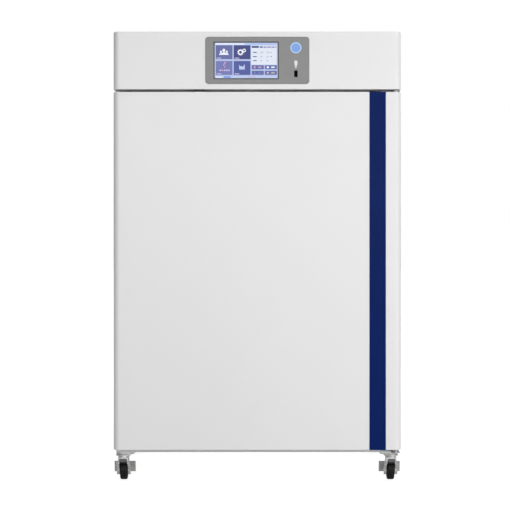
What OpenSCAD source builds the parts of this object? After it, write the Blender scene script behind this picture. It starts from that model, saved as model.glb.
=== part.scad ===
// Carbon dioxide incubator: a free-standing heated cabinet on four casters, with a foam-filled
// outer door, a glass inner door, a coved stainless chamber and a control head over the door.
// Millimetres. +Z is up, the front faces -Y, and the origin is on the floor at the middle of
// the footprint.

/* [Chamber] */
// Inside width of the chamber
chamber_w = 500; // [400:5:620]
// Inside depth of the chamber
chamber_d = 500; // [430:5:620]
// Inside height of the chamber
chamber_h = 650; // [560:5:800]
// Radius of the coved corners
chamber_r = 25; // [14:1:30]
// Thickness of the stainless liner
liner_t = 1.2; // [0.8:0.1:1.6]

/* [Walls] */
// Side wall, from the chamber to the outside of the body
wall_side = 93; // [80:1:120]
// Wall under the chamber floor
wall_floor = 98; // [82:1:130]
// Wall over the chamber ceiling, up to the electronics deck
wall_roof = 125; // [90:1:160]
// Wall behind the chamber
wall_rear = 106; // [88:1:140]
// Sheet steel of the casing
sheet = 1.2; // [0.9:0.1:1.6]
// Thickness of the heater mats between liner and foam
heater_t = 5; // [3:0.5:7]
// Space left behind the foam for wiring
service_d = 40; // [25:1:48]

/* [Glass door pocket] */
// Depth of the pocket round the chamber mouth
pocket_d = 34; // [30:1:44]
// How far the pocket stands outside the mouth
pocket_margin = 30; // [25:1:36]
// Corner radius of the pocket
pocket_r = 20; // [14:1:24]
// How far the glass laps over the mouth
glass_lap = 20; // [16:1:22]
// Thickness of the glass
glass_t = 5; // [4:0.5:6]
// Thickness of the silicone seal behind the glass
mouth_seal_t = 4; // [3:0.5:5]
// Sheet thickness of the front frame
frame_t = 1.5; // [1.2:0.1:2]

/* [Outer door] */
// Thickness of the door
door_t = 53.4; // [48:0.2:66]
// Space between the closed door and the body, filled by the magnetic seal
seal_gap = 6; // [5:0.5:8]
// Clearance between the door and the control head
door_gap = 6; // [5:0.5:9]
// Height of the door's lower edge over the base
door_lift = 12; // [10:0.5:16]
// How far the door and head stand past the body at each side
side_reveal = 2; // [1:0.5:4]
// Radius of the upright front edges
edge_r = 15; // [10:0.5:18]
// Depth of the dish pressed into the door liner
dish_d = 8; // [5:0.5:11]
// Width of the coloured strip
strip_w = 39.4; // [30:0.2:50]
// Thickness of the coloured strip
strip_t = 0.6; // [0.4:0.1:1]
// From the door's right edge to the strip
strip_in = 37; // [32:0.5:44]
// Length of the recessed finger pull
pull_l = 150; // [110:1:190]
// Width of the recessed finger pull
pull_w = 22; // [18:1:25]
// Depth of the recessed finger pull
pull_d = 24; // [18:1:30]

/* [Hinges] */
// Radius of the outer door's hinge pins
hinge_pin_r = 4; // [3:0.25:5]
// From the door's right edge to the hinge axis
hinge_in = 12; // [11:0.5:15]
// From the door's front face to the hinge axis
hinge_back = 21.4; // [20:0.2:26]
// Thickness of the hinge brackets
bracket_t = 3; // [2.4:0.1:3.6]
// Radius of the glass door's hinge pins
glass_pin_r = 2.5; // [2:0.1:2.6]
// Running clearance round every pin and axle
running = 0.05; // [0.04:0.005:0.08]

/* [Control head] */
// Height of the bay over the electronics deck
bay_h = 141; // [132:1:180]
// Thickness of the head's front cover
fascia_t = 1.5; // [1.2:0.1:2]
// Width of the grey control panel
bezel_w = 248; // [240:1:300]
// Height of the grey control panel
bezel_h = 112; // [108:1:118]
// Corner radius of the grey control panel
bezel_r = 7.5; // [5:0.5:12]
// Width of the touch screen's glass
screen_w = 156; // [130:0.5:160]
// Height of the touch screen's glass
screen_h = 90; // [75:0.5:94]
// Sideways place of the touch screen
screen_x = -26.6; // [-30:0.2:-20]
// Radius of the power button
button_r = 9.6; // [8:0.2:11]
// Width of the light ring round the power button
collar_w = 4.2; // [3:0.1:5]
// Sideways place of the button and the data port
button_x = 92.5; // [86:0.5:100]
// Travel of the power button
button_travel = 2; // [1.5:0.1:2.5]

/* [Inside the chamber] */
// Number of shelves
shelf_count = 3; // [3]
// Height of the lowest shelf over the chamber floor
shelf_z0 = 130; // [110:1:160]
// Distance from shelf to shelf
shelf_pitch = 140; // [110:1:160]
// Fold at the shelf's edge
shelf_fold = 10; // [8:0.5:12]
// Sheet thickness of the shelves
shelf_t = 1.2; // [1:0.1:1.5]
// Thickness of the shelf uprights
upright_t = 8; // [6:0.5:10]
// Depth of the fan duct in front of the rear wall
duct_d = 50; // [42:1:60]
// Width of the fan duct
duct_w = 370; // [300:2:372]
// Outer radius of the fan wheel
fan_r = 60; // [50:1:70]
// Height of the water pan
pan_h = 40; // [30:1:50]

/* [Casters] */
// Radius of the caster wheels
wheel_r = 25; // [21:0.5:30]
// Width of the caster wheels
wheel_w = 18; // [16:0.5:22]
// Clearance between wheel and fork crown
wheel_clear = 5; // [4:0.5:8]
// How far the wheel trails behind the swivel axis
trail = 22; // [20:0.5:27]
// Sheet thickness of the caster fork
fork_t = 2; // [1.8:0.1:2.6]
// Sheet thickness of the brake pedal
pedal_t = 1.5; // [1.2:0.1:2]
// Width of the brake pedal's tread
pedal_w = 52; // [46:1:60]
// Radius of the swivel race
race_r = 18; // [16.5:0.5:19]
// Thickness of the caster's top plate
plate_t = 2.5; // [2:0.1:3]
// From the body's side to the swivel axis
caster_in = 16; // [16:0.5:34]
// From the body's front to the front swivel axes
caster_front = 26; // [26:0.5:60]
// From the body's back to the rear swivel axes
caster_rear = 45; // [38:0.5:60]

/* [Rear] */
// How far the rear bumpers hold the body off a wall
bumper_d = 20; // [18:0.5:26]
// Bore radius of the access port
port_r = 12.5; // [10:0.5:14]
// Radius of the gas inlet spigot
spigot_r = 4; // [3:0.25:5]

/* [Hidden] */
$fn = 48;

// Clearances: between moving pieces, beside a slip-in piece, and the extra length of a cut
gap = 0.3;
slip = 0.1;
cut = 1;

// Colours
casing = "#e4e3e2";
blue = "#1c2c5e";
panel_grey = "#8f8f8d";
steel = "#c3c6c8";
zinc = "#b9b9b7";
black = "#1d1d1c";
foam = "#d9d2b6";
silicone = "#d8dadb";

// Depths, from the front face to the wall behind the object
body_d = pocket_d + chamber_d + wall_rear;
total_d = strip_t + door_t + seal_gap + body_d + bumper_d;
front_y = -total_d / 2;
face_y = front_y + strip_t;
door_back_y = face_y + door_t;
body_y = door_back_y + seal_gap;
mouth_y = body_y + pocket_d;
chamber_back_y = mouth_y + chamber_d;
body_back_y = body_y + body_d;
foam_back_y = body_back_y - service_d;

// Widths, measured from the middle
body_hw = chamber_w / 2 + wall_side;
front_hw = body_hw + side_reveal;
flange = 25;

// Caster heights, from the floor up to the base
crown_t = 3;
neck_h = 3.5;
lower_race_h = 3.5;
upper_race_h = 4.2;
crown_z = 2 * wheel_r + wheel_clear;
race_z = crown_z + crown_t + neck_h;
upper_race_z = race_z + lower_race_h + gap;
plate_z = upper_race_z + upper_race_h;

// Heights, from the floor up
base_z = plate_z + plate_t;
floor_z = base_z + wall_floor;
ceiling_z = floor_z + chamber_h;
deck_z = ceiling_z + wall_roof;
top_z = deck_z + bay_h;
mid_z = (floor_z + ceiling_z) / 2;
door_bottom_z = base_z + door_lift;
door_top_z = deck_z - door_gap / 2;
head_z = deck_z + door_gap / 2;
bezel_z = (head_z + top_z) / 2;

// A plain block between two limits on each axis
module block(x, y, z) {
    translate([x[0], y[0], z[0]]) cube([x[1] - x[0], y[1] - y[0], z[1] - z[0]]);
}

// The stretch from a to b on the right side (s = 1) or mirrored to the left side (s = -1)
function side(s, a, b) = s > 0 ? [a, b] : [-b, -a];

// Rectangle with round corners, centred
module rounded(w, h, r) {
    square([w - 2 * r, h], center = true);
    square([w, h - 2 * r], center = true);
    for (x = [-1, 1], y = [-1, 1])
        translate([x * (w / 2 - r), y * (h / 2 - r)]) circle(r);
}

// Slot with round ends, centred, long along its first axis
module slot(l, w) {
    square([l - w, w], center = true);
    for (x = [-1, 1]) translate([x * (l - w) / 2, 0]) circle(w / 2);
}

// Stands a flat outline (x across, y up) into the stretch y0 to y1 of the depth
module through(y0, y1) {
    translate([0, y1, 0]) rotate([90, 0, 0]) linear_extrude(y1 - y0) children();
}

// Stands a flat outline (x along the depth, y up) into the stretch x0 to x1 of the width
module across(x0, x1) {
    translate([x0, 0, 0]) rotate([90, 0, 90]) linear_extrude(x1 - x0) children();
}

// Plan outline of the door and the head: a rectangle with round front corners
module front_outline(hw, y0, y1, r) {
    translate([-hw, y0 + r]) square([2 * hw, y1 - y0 - r]);
    translate([r - hw, y0]) square([2 * (hw - r), 2 * r]);
    for (x = [-1, 1]) translate([x * (hw - r), y0 + r]) circle(r);
}

// Casing of the body

rear_flange = 20;

module side_panel(s) {
    color(casing) {
        block(side(s, body_hw - sheet, body_hw), [body_y, body_back_y - sheet],
              [base_z, top_z - sheet]);
        block(side(s, body_hw - flange, body_hw), [body_y, body_y + sheet],
              [base_z, top_z - sheet]);
        block(side(s, body_hw - rear_flange, body_hw),
              [body_back_y - 2 * sheet, body_back_y - sheet], [base_z, top_z - sheet]);
    }
}

cover_fold = 20;

module top_cover() {
    color(casing) {
        block([-body_hw, body_hw], [body_y, body_back_y], [top_z - sheet, top_z]);
        for (s = [-1, 1])
            block(side(s, body_hw - 2 * sheet, body_hw - sheet),
                  [body_y + sheet, body_back_y - 2 * sheet],
                  [top_z - cover_fold, top_z - sheet]);
    }
}

module base_pan() {
    inner = body_hw - sheet;
    color(casing) {
        block([-inner, inner], [body_y + sheet, body_back_y - 2 * sheet],
              [base_z, base_z + sheet]);
        for (s = [-1, 1])
            block(side(s, inner - sheet, inner), [body_y + sheet, body_back_y - 2 * sheet],
                  [base_z, base_z + cover_fold]);
    }
}

// Places on the rear panel, measured in from the chamber's sides
inlet_in = 0;
gas_in = 50;
port_in = 35;
port_drop = 60;
spigot_rise = 34;
inlet_x = chamber_w / 2 - inlet_in;
inlet_z = deck_z + bay_h / 2;
gas_x = gas_in - chamber_w / 2;
spigot_z = deck_z + spigot_rise;
port_x = port_in - chamber_w / 2;
port_z = ceiling_z - port_drop;
port_tube_t = 2;

louvre_count = 9;
louvre_l = 150;
louvre_w = 5;
louvre_pitch = 11;

module louvres() {
    for (i = [0:louvre_count - 1])
        translate([0, inlet_z + (i - (louvre_count - 1) / 2) * louvre_pitch])
            slot(louvre_l, louvre_w);
}

// The mains inlet block, which the rear panel's cut-out follows
inlet_w = 28;
inlet_h = 58;
inlet_flange = 4;
inlet_t = 2;

module rear_panel() {
    color(casing) difference() {
        block([-body_hw, body_hw], [body_back_y - sheet, body_back_y], [base_z, top_z - sheet]);
        through(body_back_y - sheet - cut, body_back_y + cut) {
            louvres();
            translate([inlet_x, inlet_z]) square([inlet_w + 2 * slip, inlet_h + 2 * slip],
                                                 center = true);
            translate([gas_x, spigot_z]) circle(spigot_r + slip);
            translate([port_x, port_z]) circle(port_r + port_tube_t + slip);
        }
    }
}

// Front frame: a plate with a stepped pocket round the chamber's mouth
pocket_w = chamber_w + 2 * pocket_margin;
pocket_h = chamber_h + 2 * pocket_margin;

module mouth_outline(grow) {
    translate([0, mid_z]) rounded(chamber_w + 2 * grow, chamber_h + 2 * grow, chamber_r + grow);
}

module pocket_outline(grow) {
    translate([0, mid_z]) rounded(pocket_w + 2 * grow, pocket_h + 2 * grow, pocket_r + grow);
}

module front_frame() {
    plate_hw = body_hw - flange;
    color(steel) difference() {
        union() {
            block([-plate_hw, plate_hw], [body_y, body_y + frame_t],
                  [base_z, deck_z]);
            through(body_y, mouth_y) pocket_outline(frame_t);
        }
        through(body_y - cut, mouth_y - frame_t) pocket_outline(0);
        through(body_y - cut, mouth_y + cut) mouth_outline(0);
        // The base pan's front edge lies behind the plate
        block([-plate_hw - cut, plate_hw + cut], [body_y + sheet, mouth_y + cut],
              [base_z - cut, base_z + sheet]);
    }
}

module electronics_deck() {
    inner = body_hw - sheet;
    color(steel) difference() {
        block([-inner, inner], [body_y + frame_t, body_back_y - 2 * sheet],
              [deck_z, deck_z + sheet]);
        translate([gas_x, gas_y, deck_z - cut])
            cylinder(r = gas_line_r + gap, h = sheet + 2 * cut);
    }
}

// Foam between the chamber and the casing
cavity_grow = liner_t + heater_t + gap;

module insulation_jacket() {
    hw = body_hw - 2 * sheet - gap;
    color(foam) difference() {
        block([-hw, hw], [body_y + frame_t + gap, foam_back_y],
              [base_z + sheet + gap, deck_z - gap]);
        through(body_y, mouth_y + gap) pocket_outline(frame_t + gap);
        through(mouth_y, chamber_back_y + liner_t + gap) mouth_outline(cavity_grow);
        through(chamber_back_y, body_back_y)
            translate([0, fan_z]) circle(motor_flange_r + gap);
        through(chamber_back_y, body_back_y)
            translate([port_x, port_z]) circle(port_r + port_tube_t + gap);
        translate([gas_x, gas_y, ceiling_z]) cylinder(r = gas_line_r + gap, h = wall_roof);
    }
}

module inner_chamber() {
    color(steel) difference() {
        through(mouth_y, chamber_back_y + liner_t) mouth_outline(liner_t);
        through(mouth_y - cut, chamber_back_y) mouth_outline(0);
        through(chamber_back_y - cut, chamber_back_y + liner_t + cut) {
            translate([0, fan_z]) circle(fan_shaft_r + 1);
            translate([port_x, port_z]) circle(port_r + port_tube_t + slip);
        }
        translate([gas_x, gas_y, ceiling_z - cut])
            cylinder(r = gas_line_r + slip, h = liner_t + 2 * cut);
        for (p = probe_places)
            translate([p[0], p[1], ceiling_z - cut]) cylinder(r = p[2] + slip, h = liner_t + 2 * cut);
    }
}

heater_in = 20;
heater_clear = 10;

// Heater mats lie flat on the outside of the liner, clear of its coved corners
module heater_mats() {
    y0 = mouth_y + heater_in;
    y1 = chamber_back_y - heater_in;
    z0 = floor_z + chamber_r + heater_clear;
    z1 = ceiling_z - chamber_r - heater_clear;
    face = chamber_w / 2 + liner_t;
    hw = chamber_w / 2 - chamber_r - heater_clear;
    color("#b5532a") {
        for (s = [-1, 1]) block(side(s, face, face + heater_t), [y0, y1], [z0, z1]);
        block([-hw, hw], [y0, y1], [floor_z - liner_t - heater_t, floor_z - liner_t]);
    }
}

// Circulation fan, behind a duct panel on the rear wall

fan_drop = 130;
fan_z = ceiling_z - fan_drop;
fan_shaft_r = 4;
fan_depth = 30;
fan_back = 8;
fan_y = chamber_back_y - fan_depth - fan_back;
motor_flange_r = 44;
motor_flange_t = 3;
motor_r = 36;
motor_l = 56;
motor_end = 6;
duct_low = 30;
duct_r = 18;
duct_y = chamber_back_y - duct_d;

// Round inlet of the duct: rings of holes round the fan's axis
inlet_hole_r = 5;
inlet_ring = 14;

module fan_inlet_holes() {
    circle(inlet_hole_r);
    for (ring = [1:3], i = [0:6 * ring - 1])
        rotate(i * 60 / ring) translate([ring * inlet_ring, 0]) circle(inlet_hole_r);
}

duct_slot_l = 34;
duct_slot_w = 7;
duct_slot_pitch = 18;
duct_slot_in = 40;
duct_slot_low = 30;

module fan_duct_panel() {
    z0 = floor_z + duct_low;
    z1 = ceiling_z - duct_low;
    hw = duct_w / 2;
    h = z1 - z0;
    slots = floor((fan_z - fan_r - duct_slot_in - z0) / duct_slot_pitch);
    color(steel) difference() {
        through(duct_y, chamber_back_y)
            translate([0, (z0 + z1) / 2]) rounded(duct_w, h, duct_r);
        through(duct_y + liner_t, chamber_back_y + cut)
            translate([0, (z0 + z1) / 2]) rounded(duct_w - 2 * liner_t, h - 2 * liner_t, duct_r - liner_t);
        through(duct_y - cut, duct_y + liner_t + cut) {
            translate([0, fan_z]) fan_inlet_holes();
            for (s = [-1, 1], i = [0:slots - 1])
                translate([s * (hw - duct_slot_in), z0 + duct_slot_low + i * duct_slot_pitch])
                    slot(duct_slot_l, duct_slot_w);
        }
    }
}

blade_count = 18;
blade_t = 1.4;
blade_bend_r = fan_r * 0.45;
blade_middle_r = fan_r * 0.8;
blade_inner_r = fan_r * 0.66;

// One curved blade of the fan wheel: the stretch of a thin ring that lies between two radii
module fan_blade() {
    intersection() {
        translate([blade_middle_r, -blade_bend_r]) difference() {
            circle(blade_bend_r);
            circle(blade_bend_r - blade_t);
        }
        difference() {
            circle(fan_r - 1);
            circle(blade_inner_r);
        }
        translate([0, -fan_r * 0.3]) square([fan_r, fan_r]);
    }
}

fan_plate_t = 2;
fan_ring_t = 1.5;
fan_hub_r = 12;
fan_hub_l = 22;
fan_shaft_front = 4;

module fan_impeller() {
    plate_y = fan_y + fan_depth - fan_plate_t;
    back_y = fan_y + fan_depth;
    color(zinc) translate([0, 0, fan_z]) {
        through(plate_y, back_y) circle(fan_r);
        through(fan_y + fan_ring_t / 2, plate_y + fan_plate_t / 2)
            for (i = [0:blade_count - 1]) rotate(i * 360 / blade_count) fan_blade();
        through(fan_y, fan_y + fan_ring_t) difference() {
            circle(fan_r);
            circle(blade_middle_r);
        }
        through(back_y - fan_hub_l, back_y) circle(fan_hub_r);
        through(fan_y + fan_shaft_front, chamber_back_y + liner_t + motor_l - motor_end - 2)
            circle(fan_shaft_r);
    }
}

module fan_motor() {
    y0 = chamber_back_y + liner_t;
    color("#55585c") difference() {
        translate([0, 0, fan_z]) {
            through(y0, y0 + motor_flange_t) circle(motor_flange_r);
            through(y0 + motor_flange_t, y0 + motor_l) circle(motor_r);
        }
        translate([0, 0, fan_z])
            through(y0 - cut, y0 + motor_l - motor_end) circle(fan_shaft_r + running);
    }
}

// Shelves, with their uprights and rails

upright_w = 20;
rail_t = 1.2;
rail_h = 14;
rail_w = 16;
upright_y = [mouth_y + 60, duct_y - 50];
shelf_y = [mouth_y + 22, duct_y - 10];
notch_pitch = 35;
notch_h = 12;
notch_w = 8;
notch_d = 2;
rail_x = chamber_w / 2 - upright_t;
shelf_hw = rail_x - rail_t - gap * 3;
function shelf_z(i) = floor_z + shelf_z0 + i * shelf_pitch;

module shelf_supports() {
    color(steel) {
        for (s = [-1, 1], y = upright_y) difference() {
            block(side(s, rail_x, chamber_w / 2), [y - upright_w / 2, y + upright_w / 2],
                  [floor_z + chamber_r, ceiling_z - chamber_r]);
            for (i = [0:floor((chamber_h - 2 * chamber_r) / notch_pitch) - 1]) {
                z = floor_z + chamber_r + notch_h + i * notch_pitch;
                block(side(s, rail_x - cut, rail_x + notch_d), [y - notch_w / 2, y + notch_w / 2],
                      [z, z + notch_h]);
            }
        }
        for (s = [-1, 1], i = [0:shelf_count - 1]) {
            z = shelf_z(i) - shelf_fold - rail_t;
            block(side(s, rail_x - rail_w, rail_x), shelf_y, [z, z + rail_t]);
            block(side(s, rail_x - rail_t, rail_x), shelf_y, [z, z + rail_h]);
        }
    }
}

shelf_slot_l = 50;
shelf_slot_w = 7;
shelf_slot_pitch = 34;

module shelf(i) {
    z = shelf_z(i);
    length = shelf_y[1] - shelf_y[0];
    rows = floor((length - 30) / (shelf_slot_l + 12));
    columns = 2 * floor((shelf_hw - 20) / shelf_slot_pitch) + 1;
    row_pitch = (length - 20) / rows;
    color(steel) difference() {
        block([-shelf_hw, shelf_hw], shelf_y, [z - shelf_fold, z]);
        block([shelf_t - shelf_hw, shelf_hw - shelf_t], [shelf_y[0] + shelf_t, shelf_y[1] - shelf_t],
              [z - shelf_fold - cut, z - shelf_t]);
        translate([0, (shelf_y[0] + shelf_y[1]) / 2, z - shelf_t - cut])
            linear_extrude(shelf_t + 2 * cut)
                for (c = [0:columns - 1], r = [0:rows - 1])
                    translate([(c - (columns - 1) / 2) * shelf_slot_pitch,
                               (r - (rows - 1) / 2) * row_pitch])
                        rotate(90) slot(shelf_slot_l, shelf_slot_w);
    }
}

pan_side = 30;
pan_front = 36;
pan_rear = 40;
pan_r = 14;
pan_rim = 8;
pan_t = 1.2;

module water_pan() {
    w = chamber_w - 2 * pan_side;
    l = duct_y - pan_rear - (mouth_y + pan_front);
    translate([0, mouth_y + pan_front + l / 2, 0]) color(steel) difference() {
        union() {
            translate([0, 0, floor_z]) linear_extrude(pan_h) rounded(w, l, pan_r);
            translate([0, 0, floor_z + pan_h - pan_t]) linear_extrude(pan_t)
                rounded(w + 2 * pan_rim, l + 2 * pan_rim, pan_r + pan_rim);
        }
        translate([0, 0, floor_z + pan_t]) linear_extrude(pan_h + cut)
            rounded(w - 2 * pan_t, l - 2 * pan_t, pan_r - pan_t);
    }
}

// Each probe: sideways place, depth place, stem radius, length below the ceiling, tip radius
probe_y = duct_y - 60;
probe_places = [
    [chamber_w / 2 - 140, probe_y, 6, 62, 9],
    [chamber_w / 2 - 100, probe_y, 2.5, 80, 2.5]
];
probe_nut_t = 4;
probe_nut_w = 5;

module chamber_probes() {
    color("#9fa2a4") for (p = probe_places) {
        translate([p[0], p[1], ceiling_z - p[3]]) cylinder(r = p[2], h = p[3] + liner_t + heater_t);
        translate([p[0], p[1], ceiling_z - p[3]]) cylinder(r = p[4], h = p[3] * 0.5);
        translate([p[0], p[1], ceiling_z - probe_nut_t])
            cylinder(r = p[2] + probe_nut_w, h = probe_nut_t);
    }
}

// Gas path: inlet on the rear panel, valve on the deck, line down into the chamber

gas_y = chamber_back_y - 30;
gas_line_r = 3;
gas_line_low = 10;
valve_w = 44;
valve_l = 56;
valve_h = 40;
coil_r = 14;
coil_h = 22;

module gas_valve() {
    z0 = deck_z + sheet;
    color("#3d4650") {
        block([gas_x - valve_w / 2, gas_x + valve_w / 2],
              [gas_y - valve_l / 2, gas_y + valve_l / 2], [z0, z0 + valve_h]);
        translate([gas_x, gas_y, z0 + valve_h]) cylinder(r = coil_r, h = coil_h);
        translate([gas_x, gas_y, ceiling_z - gas_line_low])
            cylinder(r = gas_line_r, h = z0 + valve_h / 2 - ceiling_z + gas_line_low);
    }
}

spigot_l = 16;
spigot_nut_r = 8;

module gas_inlet() {
    color("#b98d45") translate([gas_x, 0, spigot_z]) {
        through(gas_y + valve_l / 2, body_back_y) circle(spigot_r);
        through(body_back_y, body_back_y + bumper_d - spigot_l) circle(spigot_nut_r, $fn = 6);
        through(body_back_y, body_back_y + bumper_d) circle(spigot_r);
    }
}

inlet_body = 30;
socket_w = 24;
socket_h = 18;
socket_d = 17;
socket_z = -14;
socket_pins = [[-7, -2], [7, -2], [0, 4]];
rocker_z = 14;
rocker_w = 12;
rocker_h = 20;
rocker_d = 16;
rocker_tilt = 11;
rocker_pin_r = 1.5;
rocker_pin_l = 2;
rocker_in = 5;
rocker_y = body_back_y + inlet_t - rocker_in;

module mains_inlet() {
    y1 = body_back_y + inlet_t;
    color(black) translate([inlet_x, 0, inlet_z]) {
        difference() {
            union() {
                through(body_back_y - inlet_body, y1) square([inlet_w, inlet_h], center = true);
                through(body_back_y, y1)
                    square([inlet_w + 2 * inlet_flange, inlet_h + 2 * inlet_flange], center = true);
            }
            through(y1 - socket_d, y1 + cut) translate([0, socket_z])
                square([socket_w, socket_h], center = true);
            through(y1 - rocker_d, y1 + cut) translate([0, rocker_z])
                square([rocker_w + 1, rocker_h + 2], center = true);
            across(-rocker_w / 2 - rocker_pin_l - slip, rocker_w / 2 + rocker_pin_l + slip)
                translate([rocker_y, rocker_z]) circle(rocker_pin_r + running);
        }
        for (pin = socket_pins)
            through(y1 - socket_d - 1, y1 - 7) translate([pin[0], socket_z + pin[1]])
                square([2, 4], center = true);
    }
}

// Rocker: two flats that meet in a shallow notch, tipped to one side at rest, on a round pin
module mains_rocker() {
    h = rocker_h / 2;
    hw = rocker_w / 2;
    color("#2b2b2b") translate([inlet_x, rocker_y, inlet_z + rocker_z]) rotate([rocker_tilt, 0, 0]) {
        across(-hw, hw)
            polygon([[-6, -h + 3.5], [-6, h - 3.5], [4.5, h - 0.6], [3, 0], [4.5, 0.6 - h]]);
        across(-hw - rocker_pin_l, hw + rocker_pin_l) circle(rocker_pin_r);
    }
}

bumper_r = 12;
bumper_in = 36;
bumper_tip = 4;

module rear_bumpers() {
    color(black) for (s = [-1, 1], z = [base_z + bumper_in, top_z - bumper_in])
        translate([s * (body_hw - bumper_in), 0, z]) {
            through(body_back_y, body_back_y + bumper_d - bumper_tip) circle(bumper_r);
            through(body_back_y, body_back_y + bumper_d) circle(bumper_r - 3);
        }
}

port_lip_t = 3;
port_lip_w = 6;

module access_port_tube() {
    y0 = chamber_back_y - port_lip_t;
    color(silicone) translate([port_x, 0, port_z]) difference() {
        union() {
            through(y0, body_back_y) circle(port_r + port_tube_t);
            through(y0, chamber_back_y) circle(port_r + port_lip_w);
        }
        through(y0 - cut, body_back_y + cut) circle(port_r);
    }
}

stopper_l = 34;
stopper_head = 6;

module port_stopper() {
    color(silicone) translate([port_x, 0, port_z]) {
        through(body_back_y - stopper_l, body_back_y + gap) circle(port_r - gap);
        through(body_back_y + gap, body_back_y + gap + stopper_head) circle(port_r + port_lip_w);
    }
}

// Seal and hinges of the glass door

glass_y = mouth_y - frame_t - mouth_seal_t - gap - glass_t;
glass_w = chamber_w + 2 * glass_lap;
glass_h = chamber_h + 2 * glass_lap;
glass_r = 12;
knuckle_r = glass_pin_r + 2;
knuckle_clear = 0.5;
glass_hinge_x = pocket_w / 2 - knuckle_r - knuckle_clear;
glass_hinge_y = glass_y - knuckle_r - knuckle_clear;
glass_hinge_in = 90;
glass_hinge_places = [mid_z - glass_h / 2 + glass_hinge_in, mid_z + glass_h / 2 - glass_hinge_in];
knuckle_l = 30;
ear_t = 3;
mouth_seal_w = 10;
mouth_seal_in = 4;

module mouth_gasket() {
    lap = glass_lap - mouth_seal_in;
    color("#c9ccce") difference() {
        through(mouth_y - frame_t - mouth_seal_t, mouth_y - frame_t) mouth_outline(lap);
        through(mouth_y - frame_t - mouth_seal_t - cut, mouth_y) mouth_outline(lap - mouth_seal_w);
    }
}

module glass_hinge_brackets() {
    wall = pocket_w / 2;
    color(zinc) for (z = glass_hinge_places) {
        for (s = [-1, 1]) {
            zc = z + s * (knuckle_l / 2 + gap + ear_t / 2);
            translate([glass_hinge_x, glass_hinge_y, zc]) cylinder(r = knuckle_r, h = ear_t, center = true);
            block([glass_hinge_x, wall], [glass_hinge_y - knuckle_r, glass_hinge_y + knuckle_r],
                  [zc - ear_t / 2, zc + ear_t / 2]);
        }
        translate([glass_hinge_x, glass_hinge_y, z])
            cylinder(r = glass_pin_r, h = knuckle_l + 2 * gap + 2 * ear_t, center = true);
    }
}

leaf_l = 42;
leaf_t = 3;
keeper_w = 22;
keeper_h = 60;
keeper_t = 1.5;
keeper_in = 0.5;

module glass_fittings() {
    color(zinc) {
        for (z = glass_hinge_places) difference() {
            union() {
                translate([glass_hinge_x, glass_hinge_y, z])
                    cylinder(r = knuckle_r, h = knuckle_l, center = true);
                block([glass_hinge_x - leaf_l, glass_hinge_x], [glass_y - leaf_t, glass_y],
                      [z - knuckle_l / 2, z + knuckle_l / 2]);
            }
            translate([glass_hinge_x, glass_hinge_y, z])
                cylinder(r = glass_pin_r + running, h = knuckle_l + 2 * cut, center = true);
        }
        // Keeper plate for the magnetic catch, at the glass's left edge
        block([keeper_in - glass_w / 2, keeper_in + keeper_w - glass_w / 2],
              [glass_y - keeper_t, glass_y], [mid_z - keeper_h / 2, mid_z + keeper_h / 2]);
    }
}

module inner_glass() {
    color("#cfe3e6", 0.35) through(glass_y, glass_y + glass_t)
        translate([0, mid_z]) rounded(glass_w, glass_h, glass_r);
}

catch_clear = 1.5;
catch_front = 4;

// Magnet on the pocket's left wall, beside the keeper plate on the glass's left edge
module magnetic_catch() {
    wall = -pocket_w / 2;
    color(black) block([wall, -glass_w / 2 - catch_clear], [glass_y - catch_front, mouth_y - frame_t],
                       [mid_z - keeper_h / 2, mid_z + keeper_h / 2]);
}

handle_x = -glass_w / 2 + 44;
handle_l = 110;
handle_out = 20;
handle_w = 16;
handle_t = 6;
handle_post_r = 5;

module glass_handle() {
    y0 = glass_y - handle_out;
    color(black) translate([handle_x, 0, mid_z]) {
        for (s = [-1, 1]) translate([0, 0, s * (handle_l - handle_w) / 2])
            through(y0 + handle_t / 2, glass_y) circle(handle_post_r);
        through(y0, y0 + handle_t) rotate(90) slot(handle_l, handle_w);
    }
}

// Outer door

skin_back_y = door_back_y - frame_t;
door_mid_z = (door_bottom_z + door_top_z) / 2;
door_h = door_top_z - door_bottom_z;
return_w = 14;
hinge_x = front_hw - hinge_in;
hinge_y = face_y + hinge_back;
bush_r = hinge_pin_r + 3;
bush_l = 14;
pull_flange = 4;
pull_r = 5;
cup_t = 1.6;
pull_y = skin_back_y - sheet - gap - pull_flange - cup_t - pull_w / 2;
pull_z = door_mid_z;

module hinge_holes(r) {
    for (z = [door_bottom_z, door_top_z])
        translate([hinge_x, hinge_y, z]) cylinder(r = r, h = 2 * (bush_l + cut), center = true);
}

module pull_outline(grow) {
    translate([pull_y, pull_z]) rounded(pull_w + 2 * grow, pull_l + 2 * grow, pull_r + grow);
}

module door_skin() {
    color(casing) difference() {
        translate([0, 0, door_bottom_z]) linear_extrude(door_h)
            front_outline(front_hw, face_y, skin_back_y, edge_r);
        translate([0, 0, door_bottom_z + sheet]) linear_extrude(door_h - 2 * sheet)
            front_outline(front_hw - sheet, face_y + sheet, skin_back_y - sheet, edge_r - sheet);
        block([return_w - front_hw, front_hw - return_w], [skin_back_y - sheet - cut, skin_back_y + cut],
              [door_bottom_z + return_w, door_top_z - return_w]);
        hinge_holes(bush_r + slip);
        across(-front_hw - cut, sheet + cut - front_hw) pull_outline(0);
    }
}

dish_in = 55;
dish_r = 36;

module dish_outline(grow) {
    translate([0, door_mid_z])
        rounded(2 * (front_hw - dish_in) + 2 * grow, door_h - 2 * dish_in + 2 * grow, dish_r + grow);
}

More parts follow.
